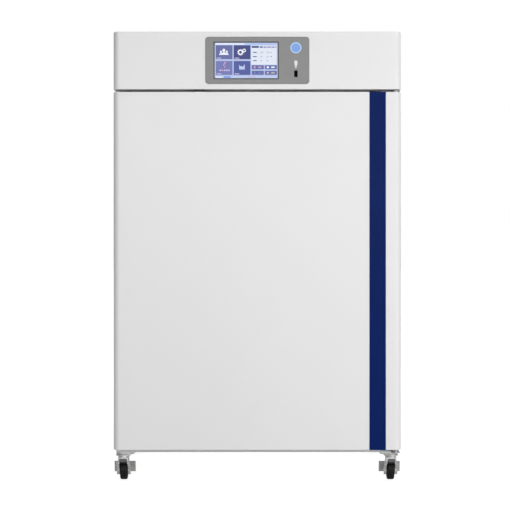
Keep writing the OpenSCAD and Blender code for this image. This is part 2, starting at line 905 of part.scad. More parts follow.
module door_core() {
    in = sheet + gap;
    color(foam) difference() {
        translate([0, 0, door_bottom_z + in]) linear_extrude(door_h - 2 * in)
            front_outline(front_hw - in, face_y + in, skin_back_y - in, edge_r - in);
        through(skin_back_y - dish_d - gap, door_back_y) dish_outline(frame_t + gap);
        hinge_holes(bush_r + gap);
        across(-front_hw, pull_d + cup_t + gap - front_hw + sheet) pull_outline(cup_t + gap);
        across(-front_hw, sheet + cup_t + gap - front_hw) pull_outline(cup_t + pull_flange + gap);
    }
}

door_liner_in = 5;
door_liner_r = 6;

module door_liner() {
    color(steel) difference() {
        union() {
            through(skin_back_y, door_back_y) translate([0, door_mid_z])
                rounded(2 * (front_hw - door_liner_in), door_h - 2 * door_liner_in, door_liner_r);
            through(skin_back_y - dish_d, door_back_y) dish_outline(frame_t);
        }
        through(skin_back_y - dish_d + frame_t, door_back_y + cut) dish_outline(0);
    }
}

seal_in = 29;
seal_in_z = 24;
seal_w = 18;
seal_r = 30;
seal_foot_t = 2;
seal_foot_w = 3;

module seal_outline(grow) {
    translate([0, door_mid_z])
        rounded(2 * (front_hw - seal_in) + 2 * grow, door_h - 2 * seal_in_z + 2 * grow, seal_r + grow);
}

// Magnetic seal: a bellows on a foot that stands out past it on both sides
module door_gasket() {
    color("#b9bbbd") difference() {
        union() {
            through(door_back_y, door_back_y + seal_foot_t) seal_outline(0);
            through(door_back_y, body_y - gap) seal_outline(-seal_foot_w);
        }
        through(door_back_y - cut, door_back_y + seal_foot_t) seal_outline(-seal_w);
        through(door_back_y - cut, body_y) seal_outline(seal_foot_w - seal_w);
    }
}

strip_right = front_hw - strip_in;

module door_strip() {
    color(blue) block([strip_right - strip_w, strip_right], [front_y, face_y],
                      [door_bottom_z, door_top_z]);
}

module door_pull() {
    x0 = sheet - front_hw;
    color(black) difference() {
        union() {
            across(x0, x0 + pull_d) pull_outline(cup_t);
            across(x0, x0 + cup_t) pull_outline(cup_t + pull_flange);
        }
        across(x0 - cut, x0 + pull_d - cup_t) pull_outline(0);
    }
}

magnet_x = -139;
magnet_w = 24;
magnet_d = 14;
magnet_h = 2.5;
magnet_in = 4;

module door_magnet() {
    y0 = face_y + magnet_in;
    color(black) block([magnet_x - magnet_w / 2, magnet_x + magnet_w / 2], [y0, y0 + magnet_d],
                       [door_top_z, door_top_z + magnet_h]);
}

module door_bushes() {
    color("#e9e6da") for (z = [door_bottom_z + bush_l / 2, door_top_z - bush_l / 2])
        translate([hinge_x, hinge_y, z]) difference() {
            cylinder(r = bush_r, h = bush_l, center = true);
            cylinder(r = hinge_pin_r + running, h = bush_l + 2 * cut, center = true);
        }
}

tongue_r = 10;
hinge_leaf_w = 43;
hinge_leaf_h = 30;

// One bracket: a tongue with a round end under or over the door, and a leaf on the body's front
module hinge_bracket(tongue_z, leaf_z0) {
    translate([0, 0, tongue_z]) {
        translate([hinge_x, hinge_y, 0]) cylinder(r = tongue_r, h = bracket_t);
        block([hinge_x - tongue_r, hinge_x + tongue_r], [hinge_y, body_y], [0, bracket_t]);
    }
    block([body_hw - hinge_leaf_w, body_hw], [body_y - bracket_t, body_y],
          [leaf_z0, leaf_z0 + hinge_leaf_h]);
}

lower_tongue_z = base_z + door_lift / 2 - bracket_t;
upper_tongue_z = deck_z - bracket_t / 2;
pin_reach = 12;

module hinge_brackets() {
    color(zinc) {
        hinge_bracket(lower_tongue_z, lower_tongue_z);
        translate([hinge_x, hinge_y, lower_tongue_z])
            cylinder(r = hinge_pin_r, h = door_bottom_z + pin_reach - lower_tongue_z);
        translate([hinge_x, hinge_y, lower_tongue_z])
            cylinder(r = bush_r, h = door_bottom_z - gap - lower_tongue_z);
        hinge_bracket(upper_tongue_z, upper_tongue_z);
        translate([hinge_x, hinge_y, door_top_z - pin_reach])
            cylinder(r = hinge_pin_r, h = upper_tongue_z - door_top_z + pin_reach + bracket_t / 2);
    }
}

// Control head

fascia_lip = 12;

module control_fascia() {
    leaf_top = upper_tongue_z + hinge_leaf_h;
    color(casing) difference() {
        translate([0, 0, head_z]) linear_extrude(top_z - head_z)
            front_outline(front_hw, face_y, body_y, edge_r);
        translate([0, 0, head_z + fascia_t]) linear_extrude(top_z - head_z - 2 * fascia_t)
            front_outline(front_hw - fascia_t, face_y + fascia_t, body_y - fascia_t, edge_r - fascia_t);
        block([fascia_lip - body_hw, body_hw - fascia_lip], [body_y - fascia_t - cut, body_y + cut],
              [head_z + fascia_lip, top_z - fascia_lip]);
        through(face_y - cut, face_y + fascia_t + cut) translate([0, bezel_z])
            rounded(bezel_w + 2 * slip, bezel_h + 2 * slip, bezel_r + slip);
        // Room for the upper hinge bracket's leaf
        block([body_hw - hinge_leaf_w - cut, body_hw + slip], [body_y - bracket_t - cut, body_y + cut],
              [head_z - cut, leaf_top + cut]);
    }
}

// Places of the button and the port from the panel's middle, and the flange behind the cover
button_z = 30.5;
data_z = -32;
bezel_back = 4;
bezel_back_t = 1.5;
bezel_back_y = face_y + fascia_t;
bezel_rear_y = bezel_back_y + bezel_back_t;

screen_r = 1.5;
screen_sunk = 0.8;
screen_body_t = 8;
screen_body_w = 4;

data_w = 8.2;
data_h = 15.8;
data_r = 1;
data_wall = 1.5;
data_body_l = 16;
data_body_w = 2;

module bezel_holes(grow) {
    translate([screen_x, 0]) rounded(screen_w + 2 * grow, screen_h + 2 * grow, screen_r + grow);
    translate([button_x, button_z]) circle(button_r + collar_w + grow);
    translate([button_x, data_z]) rounded(data_w + 2 * grow, data_h + 2 * grow, data_r + grow);
}

module control_bezel() {
    color(panel_grey) translate([0, 0, bezel_z]) difference() {
        union() {
            through(front_y, bezel_back_y) rounded(bezel_w, bezel_h, bezel_r);
            through(bezel_back_y, bezel_rear_y)
                rounded(bezel_w + 2 * bezel_back, bezel_h + 2 * bezel_back, bezel_r + bezel_back);
        }
        through(front_y - cut, bezel_rear_y + cut) bezel_holes(slip);
    }
}

module touch_screen() {
    body_w = screen_w + 2 * screen_body_w;
    body_h = screen_h + 2 * screen_body_w;
    color(black) translate([screen_x, 0, bezel_z]) {
        through(front_y + screen_sunk, bezel_rear_y) rounded(screen_w, screen_h, screen_r);
        through(bezel_rear_y, bezel_rear_y + screen_body_t) rounded(body_w, body_h, screen_r + 3);
    }
}

// Data port: a shell with a contact tongue along its left side
module data_port() {
    inner_w = data_w - 2 * data_wall;
    inner_h = data_h - 2 * data_wall;
    tongue_w = 1.8;
    back_y = bezel_rear_y + data_body_l;
    color(black) translate([button_x, 0, bezel_z + data_z]) {
        difference() {
            union() {
                through(front_y + gap, bezel_rear_y) rounded(data_w, data_h, data_r);
                through(bezel_rear_y, back_y)
                    square([data_w + 2 * data_body_w, data_h + 2 * data_body_w], center = true);
            }
            through(front_y, back_y - 4) square([inner_w, inner_h], center = true);
        }
        through(front_y + 2, back_y - 3) translate([-tongue_w / 2, 0])
            square([tongue_w, inner_h - 2], center = true);
    }
}

collar_l = 22;
collar_flange = 3;
collar_bore = 16;
cap_sunk = 0.4;
cap_l = 7.6;
plunger_r = 3;

module button_collar() {
    outer = button_r + collar_w;
    color("#a9c6ea") translate([button_x, 0, bezel_z + button_z]) difference() {
        union() {
            through(front_y, bezel_rear_y) circle(outer);
            through(bezel_rear_y, bezel_rear_y + collar_flange) circle(outer + collar_flange);
            through(bezel_rear_y + collar_flange, bezel_rear_y + collar_l) circle(outer - 2);
        }
        through(front_y - cut, bezel_rear_y + collar_bore) circle(button_r + gap);
    }
}

module power_button() {
    cap_back_y = front_y + cap_sunk + cap_l;
    color("#84abe3") translate([button_x, 0, bezel_z + button_z]) {
        through(front_y + cap_sunk, cap_back_y) circle(button_r);
        through(cap_back_y, bezel_rear_y + collar_bore - button_travel - gap) circle(plunger_r);
    }
}

board_t = 1.6;
board_gap = 8;
board_in = [10, 4];
chip_w = 40;
chip_h = 30;
chip_t = 8;
chip_x = -20;

// Circuit board on four posts behind the screen, with its processor block
module control_board() {
    y0 = bezel_rear_y + screen_body_t;
    y1 = y0 + board_gap;
    color("#2f6b45") translate([screen_x, 0, bezel_z]) {
        through(y1, y1 + board_t) square([screen_w, screen_h] - board_in, center = true);
        for (x = [-1, 1], z = [-1, 1])
            through(y0, y1) translate([x * (screen_w / 2 - 10), z * (screen_h / 2 - 8)]) circle(3);
        through(y1 + board_t, y1 + board_t + chip_t) translate([chip_x, 0])
            square([chip_w, chip_h], center = true);
    }
}

supply_in = 110;
supply_w = 160;
supply_d = 90;
supply_h = 46;
supply_back = 60;
supply_foot = 8;
supply_foot_t = 2;

module power_supply() {
    z0 = deck_z + sheet;
    x = chamber_w / 2 - supply_in;
    hw = supply_w / 2;
    y = [body_back_y - supply_back - supply_d, body_back_y - supply_back];
    color("#aab0b4") {
        block([x - hw, x + hw], y, [z0, z0 + supply_h]);
        block([x - hw - supply_foot, x + hw + supply_foot], y, [z0, z0 + supply_foot_t]);
    }
}

// Casters

caster_x = body_hw - caster_in;
caster_front_y = body_y + caster_front;
caster_rear_y = body_back_y - caster_rear;
kingpin_r = 4;
axle_r = 4;
hub_proud = 0.8;
hub_clear = 0.5;
fork_hw = wheel_w / 2 + hub_proud + hub_clear;
fork_out = fork_hw + fork_t;
bolt_head_t = 2.8;
plate_w = 42;
plate_l = 50;
plate_in = 9;
plate_r = 7;
plate_bolt_r = 3.2;
race_bevel = 1.2;
race_step = 0.8;
kingpin_head_t = 2;
kingpin_head_r = 7;

// Each plate lies towards the middle of the body, so that its wheel stands close to the corner

module upper_race_outline(x) {
    r = race_r - race_step;
    circle(r);
    translate([-x * plate_in, 0]) circle(r);
    translate([-x * plate_in / 2, 0]) square([plate_in, 2 * r], center = true);
}

module caster_plates() {
    color(zinc) for (x = [-1, 1], y = [caster_front_y, caster_rear_y])
        translate([x * caster_x, y, 0]) {
            translate([-x * plate_in, 0, plate_z]) difference() {
                linear_extrude(plate_t) rounded(plate_w, plate_l, plate_r);
                for (bx = [-1, 1], by = [-1, 1])
                    translate([bx * (plate_w / 2 - plate_r), by * (plate_l / 2 - plate_r), -cut])
                        cylinder(r = plate_bolt_r, h = plate_t + 2 * cut);
            }
            translate([0, 0, upper_race_z]) linear_extrude(upper_race_h) upper_race_outline(x);
            translate([0, 0, crown_z - gap]) cylinder(r = kingpin_r, h = upper_race_z - crown_z + gap);
            translate([0, 0, crown_z - gap - kingpin_head_t])
                cylinder(r = kingpin_head_r, h = kingpin_head_t);
        }
}

boss_r = 13;
crown_front = -16;
crown_rear = trail + 8;
crown_lip = 5;
crown_top = crown_z + crown_t;
guard_t = 1;
guard_clear = 1;
guard_h = 8;
nut_r = 6;
leg_flange = 4.6;

// Side outline of a fork leg: from the crown back and down to a round boss at the axle
module leg_outline() {
    polygon([
        [crown_front, crown_top], [crown_front, crown_z - crown_lip], [trail - boss_r, wheel_r],
        [trail + boss_r, wheel_r], [crown_rear, crown_top]
    ]);
    translate([trail, wheel_r]) circle(boss_r);
}

// The stiffening flange turned outwards along a leg's front edge, seen from the side
module flange_outline() {
    intersection() {
        difference() {
            leg_outline();
            translate([fork_t, 0]) leg_outline();
        }
        translate([crown_front, 0]) square([trail - crown_front, crown_z - crown_lip]);
    }
}

module caster_fork(x, y, braked) {
    outer = fork_out;
    guard_y = -kingpin_head_r - guard_clear;
    head_in = outer + slip + (braked ? pedal_t + 2 * slip : 0);
    head_out = head_in + bolt_head_t;
    color(zinc) translate([x, y, 0]) {
        difference() {
            union() {
                translate([0, 0, race_z]) cylinder(r = race_r, h = lower_race_h - race_bevel);
                translate([0, 0, race_z + lower_race_h - race_bevel])
                    cylinder(r1 = race_r, r2 = race_r - race_bevel, h = race_bevel);
                translate([0, 0, crown_top - cut]) cylinder(r = outer, h = neck_h + 2 * cut);
                block([-outer, outer], [crown_front, crown_rear], [crown_z, crown_top]);
                for (s = [-1, 1]) {
                    leg = side(s, fork_hw, outer);
                    turned = side(s, fork_hw, outer + leg_flange);
                    across(leg[0], leg[1]) leg_outline();
                    across(turned[0], turned[1]) flange_outline();
                }
                block([-outer, outer], [crown_front, crown_front + fork_t],
                      [crown_z - crown_lip, crown_top]);
                block([-fork_hw - cut, fork_hw + cut], [guard_y - guard_t, guard_y],
                      [crown_z - crown_lip - guard_h, crown_z + cut]);
            }
            translate([0, 0, crown_z - cut])
                cylinder(r = kingpin_r + running, h = upper_race_z - crown_z + 2 * cut);
            across(-outer - cut, outer + cut) translate([trail, wheel_r]) circle(axle_r + slip);
        }
        across(-head_in, head_in) translate([trail, wheel_r]) circle(axle_r);
        for (s = [-1, 1]) {
            span = side(s, head_in, head_out);
            across(span[0], span[1]) translate([trail, wheel_r]) circle(nut_r, $fn = 6);
        }
    }
}

tyre_round = 4;
tyre_t = 9;
hub_t = 5;
web_in = 3;

// Half outline of the wheel, from its axis out: hub, web and a tread with round shoulders
module wheel_outline() {
    hw = wheel_w / 2;
    bore = axle_r + running;
    translate([bore, -hw - hub_proud]) square([hub_t, wheel_w + 2 * hub_proud]);
    translate([bore, web_in - hw]) square([wheel_r - tyre_t - bore + 1, wheel_w - 2 * web_in]);
    translate([wheel_r - tyre_t, tyre_round - hw]) square([tyre_t, wheel_w - 2 * tyre_round]);
    translate([wheel_r - tyre_t, -hw]) square([tyre_t - tyre_round, wheel_w]);
    for (s = [-1, 1]) translate([wheel_r - tyre_round, s * (hw - tyre_round)]) circle(tyre_round);
}

module caster_wheel(x, y) {
    color(black) translate([x, y + trail, wheel_r]) rotate([0, 90, 0]) rotate_extrude() wheel_outline();
}

arm_r = 9;
arm_out = 6;

// Brake pedal: two arms on the axle and a sloping tread with a rolled top edge, behind the wheel
module brake_pedal(x, y) {
    inner = fork_out + 2 * slip;
    pedal_hw = pedal_w / 2;
    top = [trail + wheel_r + 3, wheel_r + 15];
    low = [trail + wheel_r + 9, wheel_r - 10];
    color(zinc) translate([x, y, 0]) difference() {
        union() {
            for (s = [-1, 1]) {
                span = side(s, inner, inner + pedal_t);
                across(span[0], span[1]) {
                    polygon([[trail - arm_out, wheel_r + arm_out], [trail + arm_out, wheel_r - arm_out],
                             low, top]);
                    translate([trail, wheel_r]) circle(arm_r);
                }
            }
            across(-pedal_hw, pedal_hw) {
                polygon([top, [top[0] + pedal_t, top[1]], [low[0] + pedal_t, low[1]], low]);
                translate([top[0] + pedal_t / 2, top[1]]) circle(pedal_t);
            }
        }
        across(-inner - pedal_t - cut, inner + pedal_t + cut)
            translate([trail, wheel_r]) circle(axle_r + running);
    }
}

side_panel(-1);  // side_panel_left
side_panel(1);  // side_panel_right
top_cover();
rear_panel();
base_pan();
front_frame();
electronics_deck();
insulation_jacket();
inner_chamber();
heater_mats();
fan_duct_panel();
shelf_supports();
shelf(0);  // shelf_lower
shelf(1);  // shelf_middle
shelf(2);  // shelf_upper
water_pan();
fan_motor();
chamber_probes();
mouth_gasket();
hinge_brackets();
glass_hinge_brackets();
magnetic_catch();
control_fascia();
control_bezel();
touch_screen();
data_port();
button_collar();
control_board();
power_supply();
gas_valve();
gas_inlet();
mains_inlet();
rear_bumpers();
access_port_tube();
caster_plates();
door_skin();
door_core();
door_liner();
door_gasket();
door_strip();
door_pull();
door_magnet();
door_bushes();
inner_glass();
glass_fittings();
glass_handle();
power_button();
mains_rocker();
fan_impeller();
port_stopper();
caster_fork(-caster_x, caster_front_y, true);  // caster_fork_front_left
caster_fork(caster_x, caster_front_y, true);  // caster_fork_front_right
caster_fork(-caster_x, caster_rear_y, false);  // caster_fork_rear_left
caster_fork(caster_x, caster_rear_y, false);  // caster_fork_rear_right
caster_wheel(-caster_x, caster_front_y);  // caster_wheel_front_left
caster_wheel(caster_x, caster_front_y);  // caster_wheel_front_right
caster_wheel(-caster_x, caster_rear_y);  // caster_wheel_rear_left
caster_wheel(caster_x, caster_rear_y);  // caster_wheel_rear_right
brake_pedal(-caster_x, caster_front_y);  // brake_pedal_left
brake_pedal(caster_x, caster_front_y);  // brake_pedal_right
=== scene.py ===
"""Looks of a carbon dioxide incubator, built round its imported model. Metres, +Z up, front at -Y."""

import math

import bmesh
import bpy
import numpy as np
from bpy.props import FloatProperty, FloatVectorProperty, PointerProperty
from mathutils import Matrix, Vector


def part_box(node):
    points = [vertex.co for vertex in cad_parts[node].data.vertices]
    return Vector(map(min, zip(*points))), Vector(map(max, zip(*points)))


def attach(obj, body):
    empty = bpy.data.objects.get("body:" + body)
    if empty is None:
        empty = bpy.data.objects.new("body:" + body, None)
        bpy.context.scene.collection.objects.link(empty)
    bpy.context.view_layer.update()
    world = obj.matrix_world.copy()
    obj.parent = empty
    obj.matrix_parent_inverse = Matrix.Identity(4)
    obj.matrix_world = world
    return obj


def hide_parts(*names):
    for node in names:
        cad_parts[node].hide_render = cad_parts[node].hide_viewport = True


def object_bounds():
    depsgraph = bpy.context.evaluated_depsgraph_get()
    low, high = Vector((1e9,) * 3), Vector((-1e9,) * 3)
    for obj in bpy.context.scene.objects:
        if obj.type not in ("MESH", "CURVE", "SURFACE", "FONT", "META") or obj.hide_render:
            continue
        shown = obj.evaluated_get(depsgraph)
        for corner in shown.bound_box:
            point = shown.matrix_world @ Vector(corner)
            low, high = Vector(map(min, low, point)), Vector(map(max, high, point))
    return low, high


bl_info = {
    "name": "Carbon dioxide incubator finish",
    "version": (1, 0, 0),
    "blender": (4, 5, 0),
    "location": "3D View > Sidebar > Incubator",
    "description": "Dresses the packed model of a carbon dioxide incubator",
    "category": "Object",
}

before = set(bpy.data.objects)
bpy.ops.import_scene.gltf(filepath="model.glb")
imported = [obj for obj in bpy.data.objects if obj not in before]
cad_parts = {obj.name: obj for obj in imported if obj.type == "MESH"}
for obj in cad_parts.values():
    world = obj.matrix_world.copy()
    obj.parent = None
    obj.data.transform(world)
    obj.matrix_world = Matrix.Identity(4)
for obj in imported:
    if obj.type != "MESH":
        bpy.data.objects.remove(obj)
cad_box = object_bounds()
MM = 0.001
PI = math.pi
ARC_STEPS = 12
# The control panel reaches this far behind the head cover, and the screen behind the panel
HIDDEN_EDGE = 4 * MM


def span(node):
    """Lowest and highest corner of a CAD node, as arrays."""
    return tuple(np.array(corner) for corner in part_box(node))


def low(node):
    """Lowest corner of a CAD node."""
    return span(node)[0]


def high(node):
    """Highest corner of a CAD node."""
    return span(node)[1]


def middle(node):
    """Centre of a CAD node's box."""
    a, b = span(node)
    return (a + b) / 2


# Sizes and colours that a user would change


class CabinetSettings(bpy.types.PropertyGroup):
    """Shape and paint of the casing."""

    edge_radius: FloatProperty(
        name="Upright edge radius", description="Radius of the door's and head's upright front edges",
        default=15 * MM, subtype="DISTANCE", unit="LENGTH")
    fillet: FloatProperty(
        name="Fold radius", description="Radius of the folded top and bottom edges",
        default=1.3 * MM, subtype="DISTANCE", unit="LENGTH")
    sheet: FloatProperty(
        name="Sheet thickness", description="Thickness of the painted sheet steel",
        default=1.2 * MM, subtype="DISTANCE", unit="LENGTH")
    paint: FloatVectorProperty(
        name="Paint", description="Powder coat of door, head and body", subtype="COLOR",
        size=3, default=(0.745, 0.742, 0.738))
    strip: FloatVectorProperty(
        name="Strip", description="Coloured strip on the door", subtype="COLOR",
        size=3, default=(0.003, 0.015, 0.102))


class ControlSettings(bpy.types.PropertyGroup):
    """Control panel."""

    bezel: FloatVectorProperty(
        name="Panel", description="Moulded control panel", subtype="COLOR",
        size=3, default=(0.229, 0.229, 0.226))
    glow: FloatProperty(
        name="Screen brightness", description="How strongly the screen's picture shines", default=0.75)
    groove: FloatProperty(
        name="Panel groove", description="Width of the dark joint round the control panel",
        default=0.6 * MM, subtype="DISTANCE", unit="LENGTH")


class StageSettings(bpy.types.PropertyGroup):
    """Camera and light."""

    distance: FloatProperty(
        name="Camera distance", description="From the lens to the door's face", default=4.0,
        subtype="DISTANCE", unit="LENGTH")
    eye_height: FloatProperty(
        name="Camera height", description="Height of the level camera over the floor", default=0.5511,
        subtype="DISTANCE", unit="LENGTH")
    view_width: FloatProperty(
        name="View width", description="Width that the picture covers at the door's face",
        default=1.221, subtype="DISTANCE", unit="LENGTH")
    side_step: FloatProperty(
        name="Camera side step", description="Camera's place left of the object's middle",
        default=-5.4 * MM, subtype="DISTANCE", unit="LENGTH")
    key_power: FloatProperty(
        name="Key light", description="Power of the large side light", default=38.0)
    fill_power: FloatProperty(
        name="Fill light", description="Power of the front light", default=30.0)


# Shapes worked out as whole arrays


def round_loop(width, height, radius, steps=ARC_STEPS):
    """Rounded rectangle about the origin as an open list of points, starting at the bottom middle
    and going clockwise as seen with x right and z up: four quarter circles
    (cx + r cos t, cz + r sin t) joined by straight runs, with points at the bottom and top middle."""
    hw, hh = width / 2 - radius, height / 2 - radius
    turns = [(-hw, -hh, -0.5 * PI, -PI), (-hw, hh, PI, 0.5 * PI), None,
             (hw, hh, 0.5 * PI, 0.0), (hw, -hh, 0.0, -0.5 * PI)]
    points = [np.array([[0.0, -height / 2]])]
    for turn in turns:
        if turn is None:
            points.append(np.array([[0.0, height / 2]]))
            continue
        cx, cz, start, end = turn
        t = np.linspace(start, end, steps)
        points.append(np.stack([cx + radius * np.cos(t), cz + radius * np.sin(t)], 1))
    return np.concatenate(points)


def grid_quads(rows, columns, wrap_rows=False, wrap_columns=False):
    """Quads between neighbouring points of a rows by columns grid whose points lie row after row."""
    r = np.arange(rows if wrap_rows else rows - 1)
    c = np.arange(columns if wrap_columns else columns - 1)
    rr, cc = np.meshgrid(r, c, indexing="ij")
    r2, c2 = (rr + 1) % rows, (cc + 1) % columns
    quads = np.stack([rr * columns + cc, r2 * columns + cc, r2 * columns + c2, rr * columns + c2], -1)
    return quads.reshape(-1, 4)


def make_object(name, verts, faces):
    """A mesh object at the origin from an array of points and a list of faces."""
    mesh = bpy.data.meshes.new(name)
    mesh.from_pydata(np.asarray(verts, float).tolist(), [], [list(map(int, f)) for f in faces])
    mesh.validate()
    mesh.update()
    piece = bpy.data.objects.new(name, mesh)
    bpy.context.scene.collection.objects.link(piece)
    return piece


def merge_doubles(piece, reach=1e-6, outwards=True):
    """Merges points closer than reach, and turns a closed mesh's faces outwards where asked."""
    work = bmesh.new()
    work.from_mesh(piece.data)
    bmesh.ops.remove_doubles(work, verts=work.verts, dist=reach)
    if outwards:
        bmesh.ops.recalc_face_normals(work, faces=work.faces)
    work.to_mesh(piece.data)
    work.free()
    return piece


def settle(piece):
    """Applies a piece's modifiers to its mesh."""
    graph = bpy.context.evaluated_depsgraph_get()
    mesh = bpy.data.meshes.new_from_object(piece.evaluated_get(graph))
    plain = piece.data
    piece.modifiers.clear()
    piece.data = mesh
    bpy.data.meshes.remove(plain)
    mesh.name = piece.name
    return piece


def sharpen(piece, angle=35):
    """Smooth shading that breaks at edges sharper than angle and stays level on large flat faces."""
    if piece.modifiers:
        settle(piece)
    piece.data.shade_smooth()
    piece.data.set_sharp_from_angle(angle=math.radians(angle))
    piece.modifiers.new("level_shading", "WEIGHTED_NORMAL").keep_sharp = True
    return piece


def closed_piece(name, points, faces, angle=35):
    """A closed mesh with its doubles merged, its faces outwards and its edges sharp past an angle."""
    return sharpen(merge_doubles(make_object(name, points, faces)), angle)


def turned(radius, along, axis, steps):
    """Points r (cos t, sin t) across an axis and h along it, for steps angles t, row after row."""
    t = np.linspace(0, 2 * PI, steps, endpoint=False)[:, None]
    a, b = radius * np.cos(t), radius * np.sin(t)
    h = np.broadcast_to(along, a.shape)
    order = {"y": (a, h, b), "x": (h, a, b), "z": (a, b, h)}[axis]
    return np.stack(order, -1).reshape(-1, 3)


def blunted(value, power):
    """A sine or cosine drawn towards 1 and -1, as a superellipse needs it: sign(v) |v|**power."""
    return np.sign(value) * np.abs(value) ** power


def revolved(name, profile, centre, axis, steps):
    """Surface of revolution: a profile of (radius, along) pairs turned about a line through centre.
    Pairs at radius 0 close it."""
    radius, along = np.asarray(profile, float).T
    points = turned(radius, along, axis, steps) + np.asarray(centre, float)
    return closed_piece(name, points, grid_quads(steps, len(profile), wrap_rows=True))


def swept_loop(name, node, seam, radius, profile):
    """A closed profile of (outward, y) pairs carried round a rounded rectangle in XZ, the middle
    line of a seal that is seam wide and fills a CAD node's box. Offsetting a rounded rectangle
    outward by a gives the one that is 2a wider and taller with a radius larger by a, so each profile
    point draws its own."""
    width, _, height = high(node) - low(node) - seam
    rings = np.array([round_loop(width + 2 * a, height + 2 * a, max(radius + a, 1e-5))
                      for a, _ in profile])
    y = np.broadcast_to(np.array(profile)[:, 1:], rings.shape[:2])
    points = np.stack([rings[..., 0], y, rings[..., 1] + middle(node)[2]], -1)
    quads = grid_quads(*rings.shape[:2], wrap_rows=True, wrap_columns=True)
    return closed_piece(name, points.reshape(-1, 3), quads, 50)


def flat_plate(name, loop, y0, y1, centre):
    """A plate between depths y0 and y1 whose outline is a loop in XZ: two caps and a wall."""
    n = len(loop)
    front = np.column_stack([loop[:, 0], np.full(n, y0), loop[:, 1]])
    back = front.copy()
    back[:, 1] = y1
    points = np.concatenate([front, back]) + np.asarray(centre, float)
    here, after = np.arange(n), (np.arange(n) + 1) % n
    wall = np.stack([here, after, n + after, n + here], 1)
    return closed_piece(name, points, [here, here + n, *wall])


def block(name, corner_a, corner_b, bevel):
    """A block between two corners with rounded edges."""
    a, b = np.array(corner_a), np.array(corner_b)
    picks = np.array([[i, j, k] for i in (0, 1) for j in (0, 1) for k in (0, 1)])
    faces = [[0, 1, 3, 2], [4, 6, 7, 5], [0, 4, 5, 1], [2, 3, 7, 6], [0, 2, 6, 4], [1, 5, 7, 3]]
    piece = merge_doubles(make_object(name, a + picks * (b - a), faces))
    edge = piece.modifiers.new("edge", "BEVEL")
    edge.width, edge.segments = bevel, 3
    return sharpen(piece)


def folded_cover(name, node, radius, fillet, thickness, window_side, window, window_at):
    """A sheet steel cover in a CAD node's box, open at the back. Its outline runs up the left side,
    round a quarter circle, across the front, round again and back along the right side. Its upright
    profile turns in at top and bottom through quarter circles of the fillet radius. A point is
    outline(u) - inset(v) * normal(u) at height z(v). The flat patch on window_side ("front" or
    "left") has a window: a loop about window_at, given along the outline and in height. The loop
    starts at its bottom middle and passes its top middle halfway round."""
    (x0, y0, z0), (x1, y1, z1) = span(node)
    on_left = window_side == "left"
    split, split_z = window_at
    t = np.linspace(0, PI / 2, ARC_STEPS)
    c, s = np.cos(t), np.sin(t)
    left = [(x0, y, -1.0, 0.0) for y in (y1, split if on_left else (y0 + y1) / 2, y0 + radius)]
    turn_a = np.column_stack([x0 + radius - radius * c, y0 + radius - radius * s, -c, -s])[1:]
    front = ((x0 + x1) / 2 if on_left else split, y0, 0.0, -1.0)
    turn_b = np.column_stack([x1 - radius + radius * s, y0 + radius - radius * c, s, -c])
    right = [(x1, (y0 + y1) / 2, 1.0, 0.0), (x1, y1, 1.0, 0.0)]
    outline = np.vstack([left, turn_a, front, turn_b, right])

    fold = np.linspace(0, PI / 2, 6)
    flange = 12 * MM
    bottom = np.vstack([(flange, z0), np.column_stack([fillet - fillet * np.sin(fold),
                                                       z0 + fillet - fillet * np.cos(fold)])])
    profile = np.concatenate([bottom, bottom[::-1] * (1, -1) + (0, z0 + z1)])
    nu, nv = len(outline), len(profile)
    xy = outline[:, None, :2] - profile[None, :, :1] * outline[:, None, 2:]
    z = np.repeat(profile[None, :, 1:], nu, 0)
    points = np.concatenate([xy, z], -1).reshape(-1, 3)

    first = 0 if on_left else len(left) + len(turn_a) - 1
    flat_row = len(bottom) - 1
    patch = [(first + i) * (nv - 1) + flat_row for i in (0, 1)]
    faces = np.delete(grid_quads(nu, nv), patch, 0).tolist()
    count, start = len(window), len(points)
    across, up = window[:, 0], window[:, 1] + split_z
    if on_left:
        ring = [np.full(count, x0), split - across, up]
    else:
        ring = [across + split, np.full(count, y0), up]
    points = np.concatenate([points, np.column_stack(ring)])
    rim = list(range(start, start + count)) + [start]

    def at(column, row):
        return (first + column) * nv + flat_row + row

    faces.append([at(0, 0), at(1, 0)] + rim[:count // 2 + 1] + [at(1, 1), at(0, 1)])
    faces.append([at(1, 0), at(2, 0), at(2, 1), at(1, 1)] + rim[count // 2:])
    cap = np.arange(nu) * nv
    faces += [cap[::-1], cap + nv - 1]
    piece = make_object(name, points, faces)
    wall = piece.modifiers.new("sheet", "SOLIDIFY")
    wall.thickness, wall.offset = thickness, -1
    return sharpen(piece, 40)


# Materials


def linear(srgb):
    """Linear colour from 0 to 255 screen values."""
    c = np.array(srgb, float) / 255
    return tuple(np.where(c <= 0.04045, c / 12.92, ((c + 0.055) / 1.055) ** 2.4))


def shades(colour, spread):
    """A colour made a little darker and a little lighter."""
    c = np.array(colour)
    return c * (1 - spread), np.minimum(c * (1 + spread), 1.0)


def fill_sockets(tree, node, values):
    """Sets a node's sockets by name or number. Where the value is a socket, it is linked."""
    for key, value in values.items():
        if isinstance(value, bpy.types.NodeSocket):
            tree.links.new(value, node.inputs[key])
        else:
            node.inputs[key].default_value = value


def add_node(tree, kind, values=None):
    """A new shader node with its sockets filled."""
    node = tree.nodes.new("ShaderNode" + kind)
    fill_sockets(tree, node, values or {})
    return node


def ranged(tree, value, source, target):
    """A socket's value carried from one range to another, and held within it."""
    ends = {"From Min": source[0], "From Max": source[1], "To Min": target[0], "To Max": target[1]}
    return add_node(tree, "MapRange", {"Value": value, **ends}).outputs["Result"]


def noise_of(tree, stretch, scale, detail=3.0):
    """A noise texture on Object coordinates, stretched per axis."""
    place = add_node(tree, "TexCoord").outputs["Object"]
    mapping = add_node(tree, "Mapping", {"Vector": place, "Scale": stretch})
    noise = add_node(tree, "TexNoise", {"Vector": mapping.outputs["Vector"], "Scale": scale,
                                        "Detail": detail})
    return noise.outputs["Fac"]


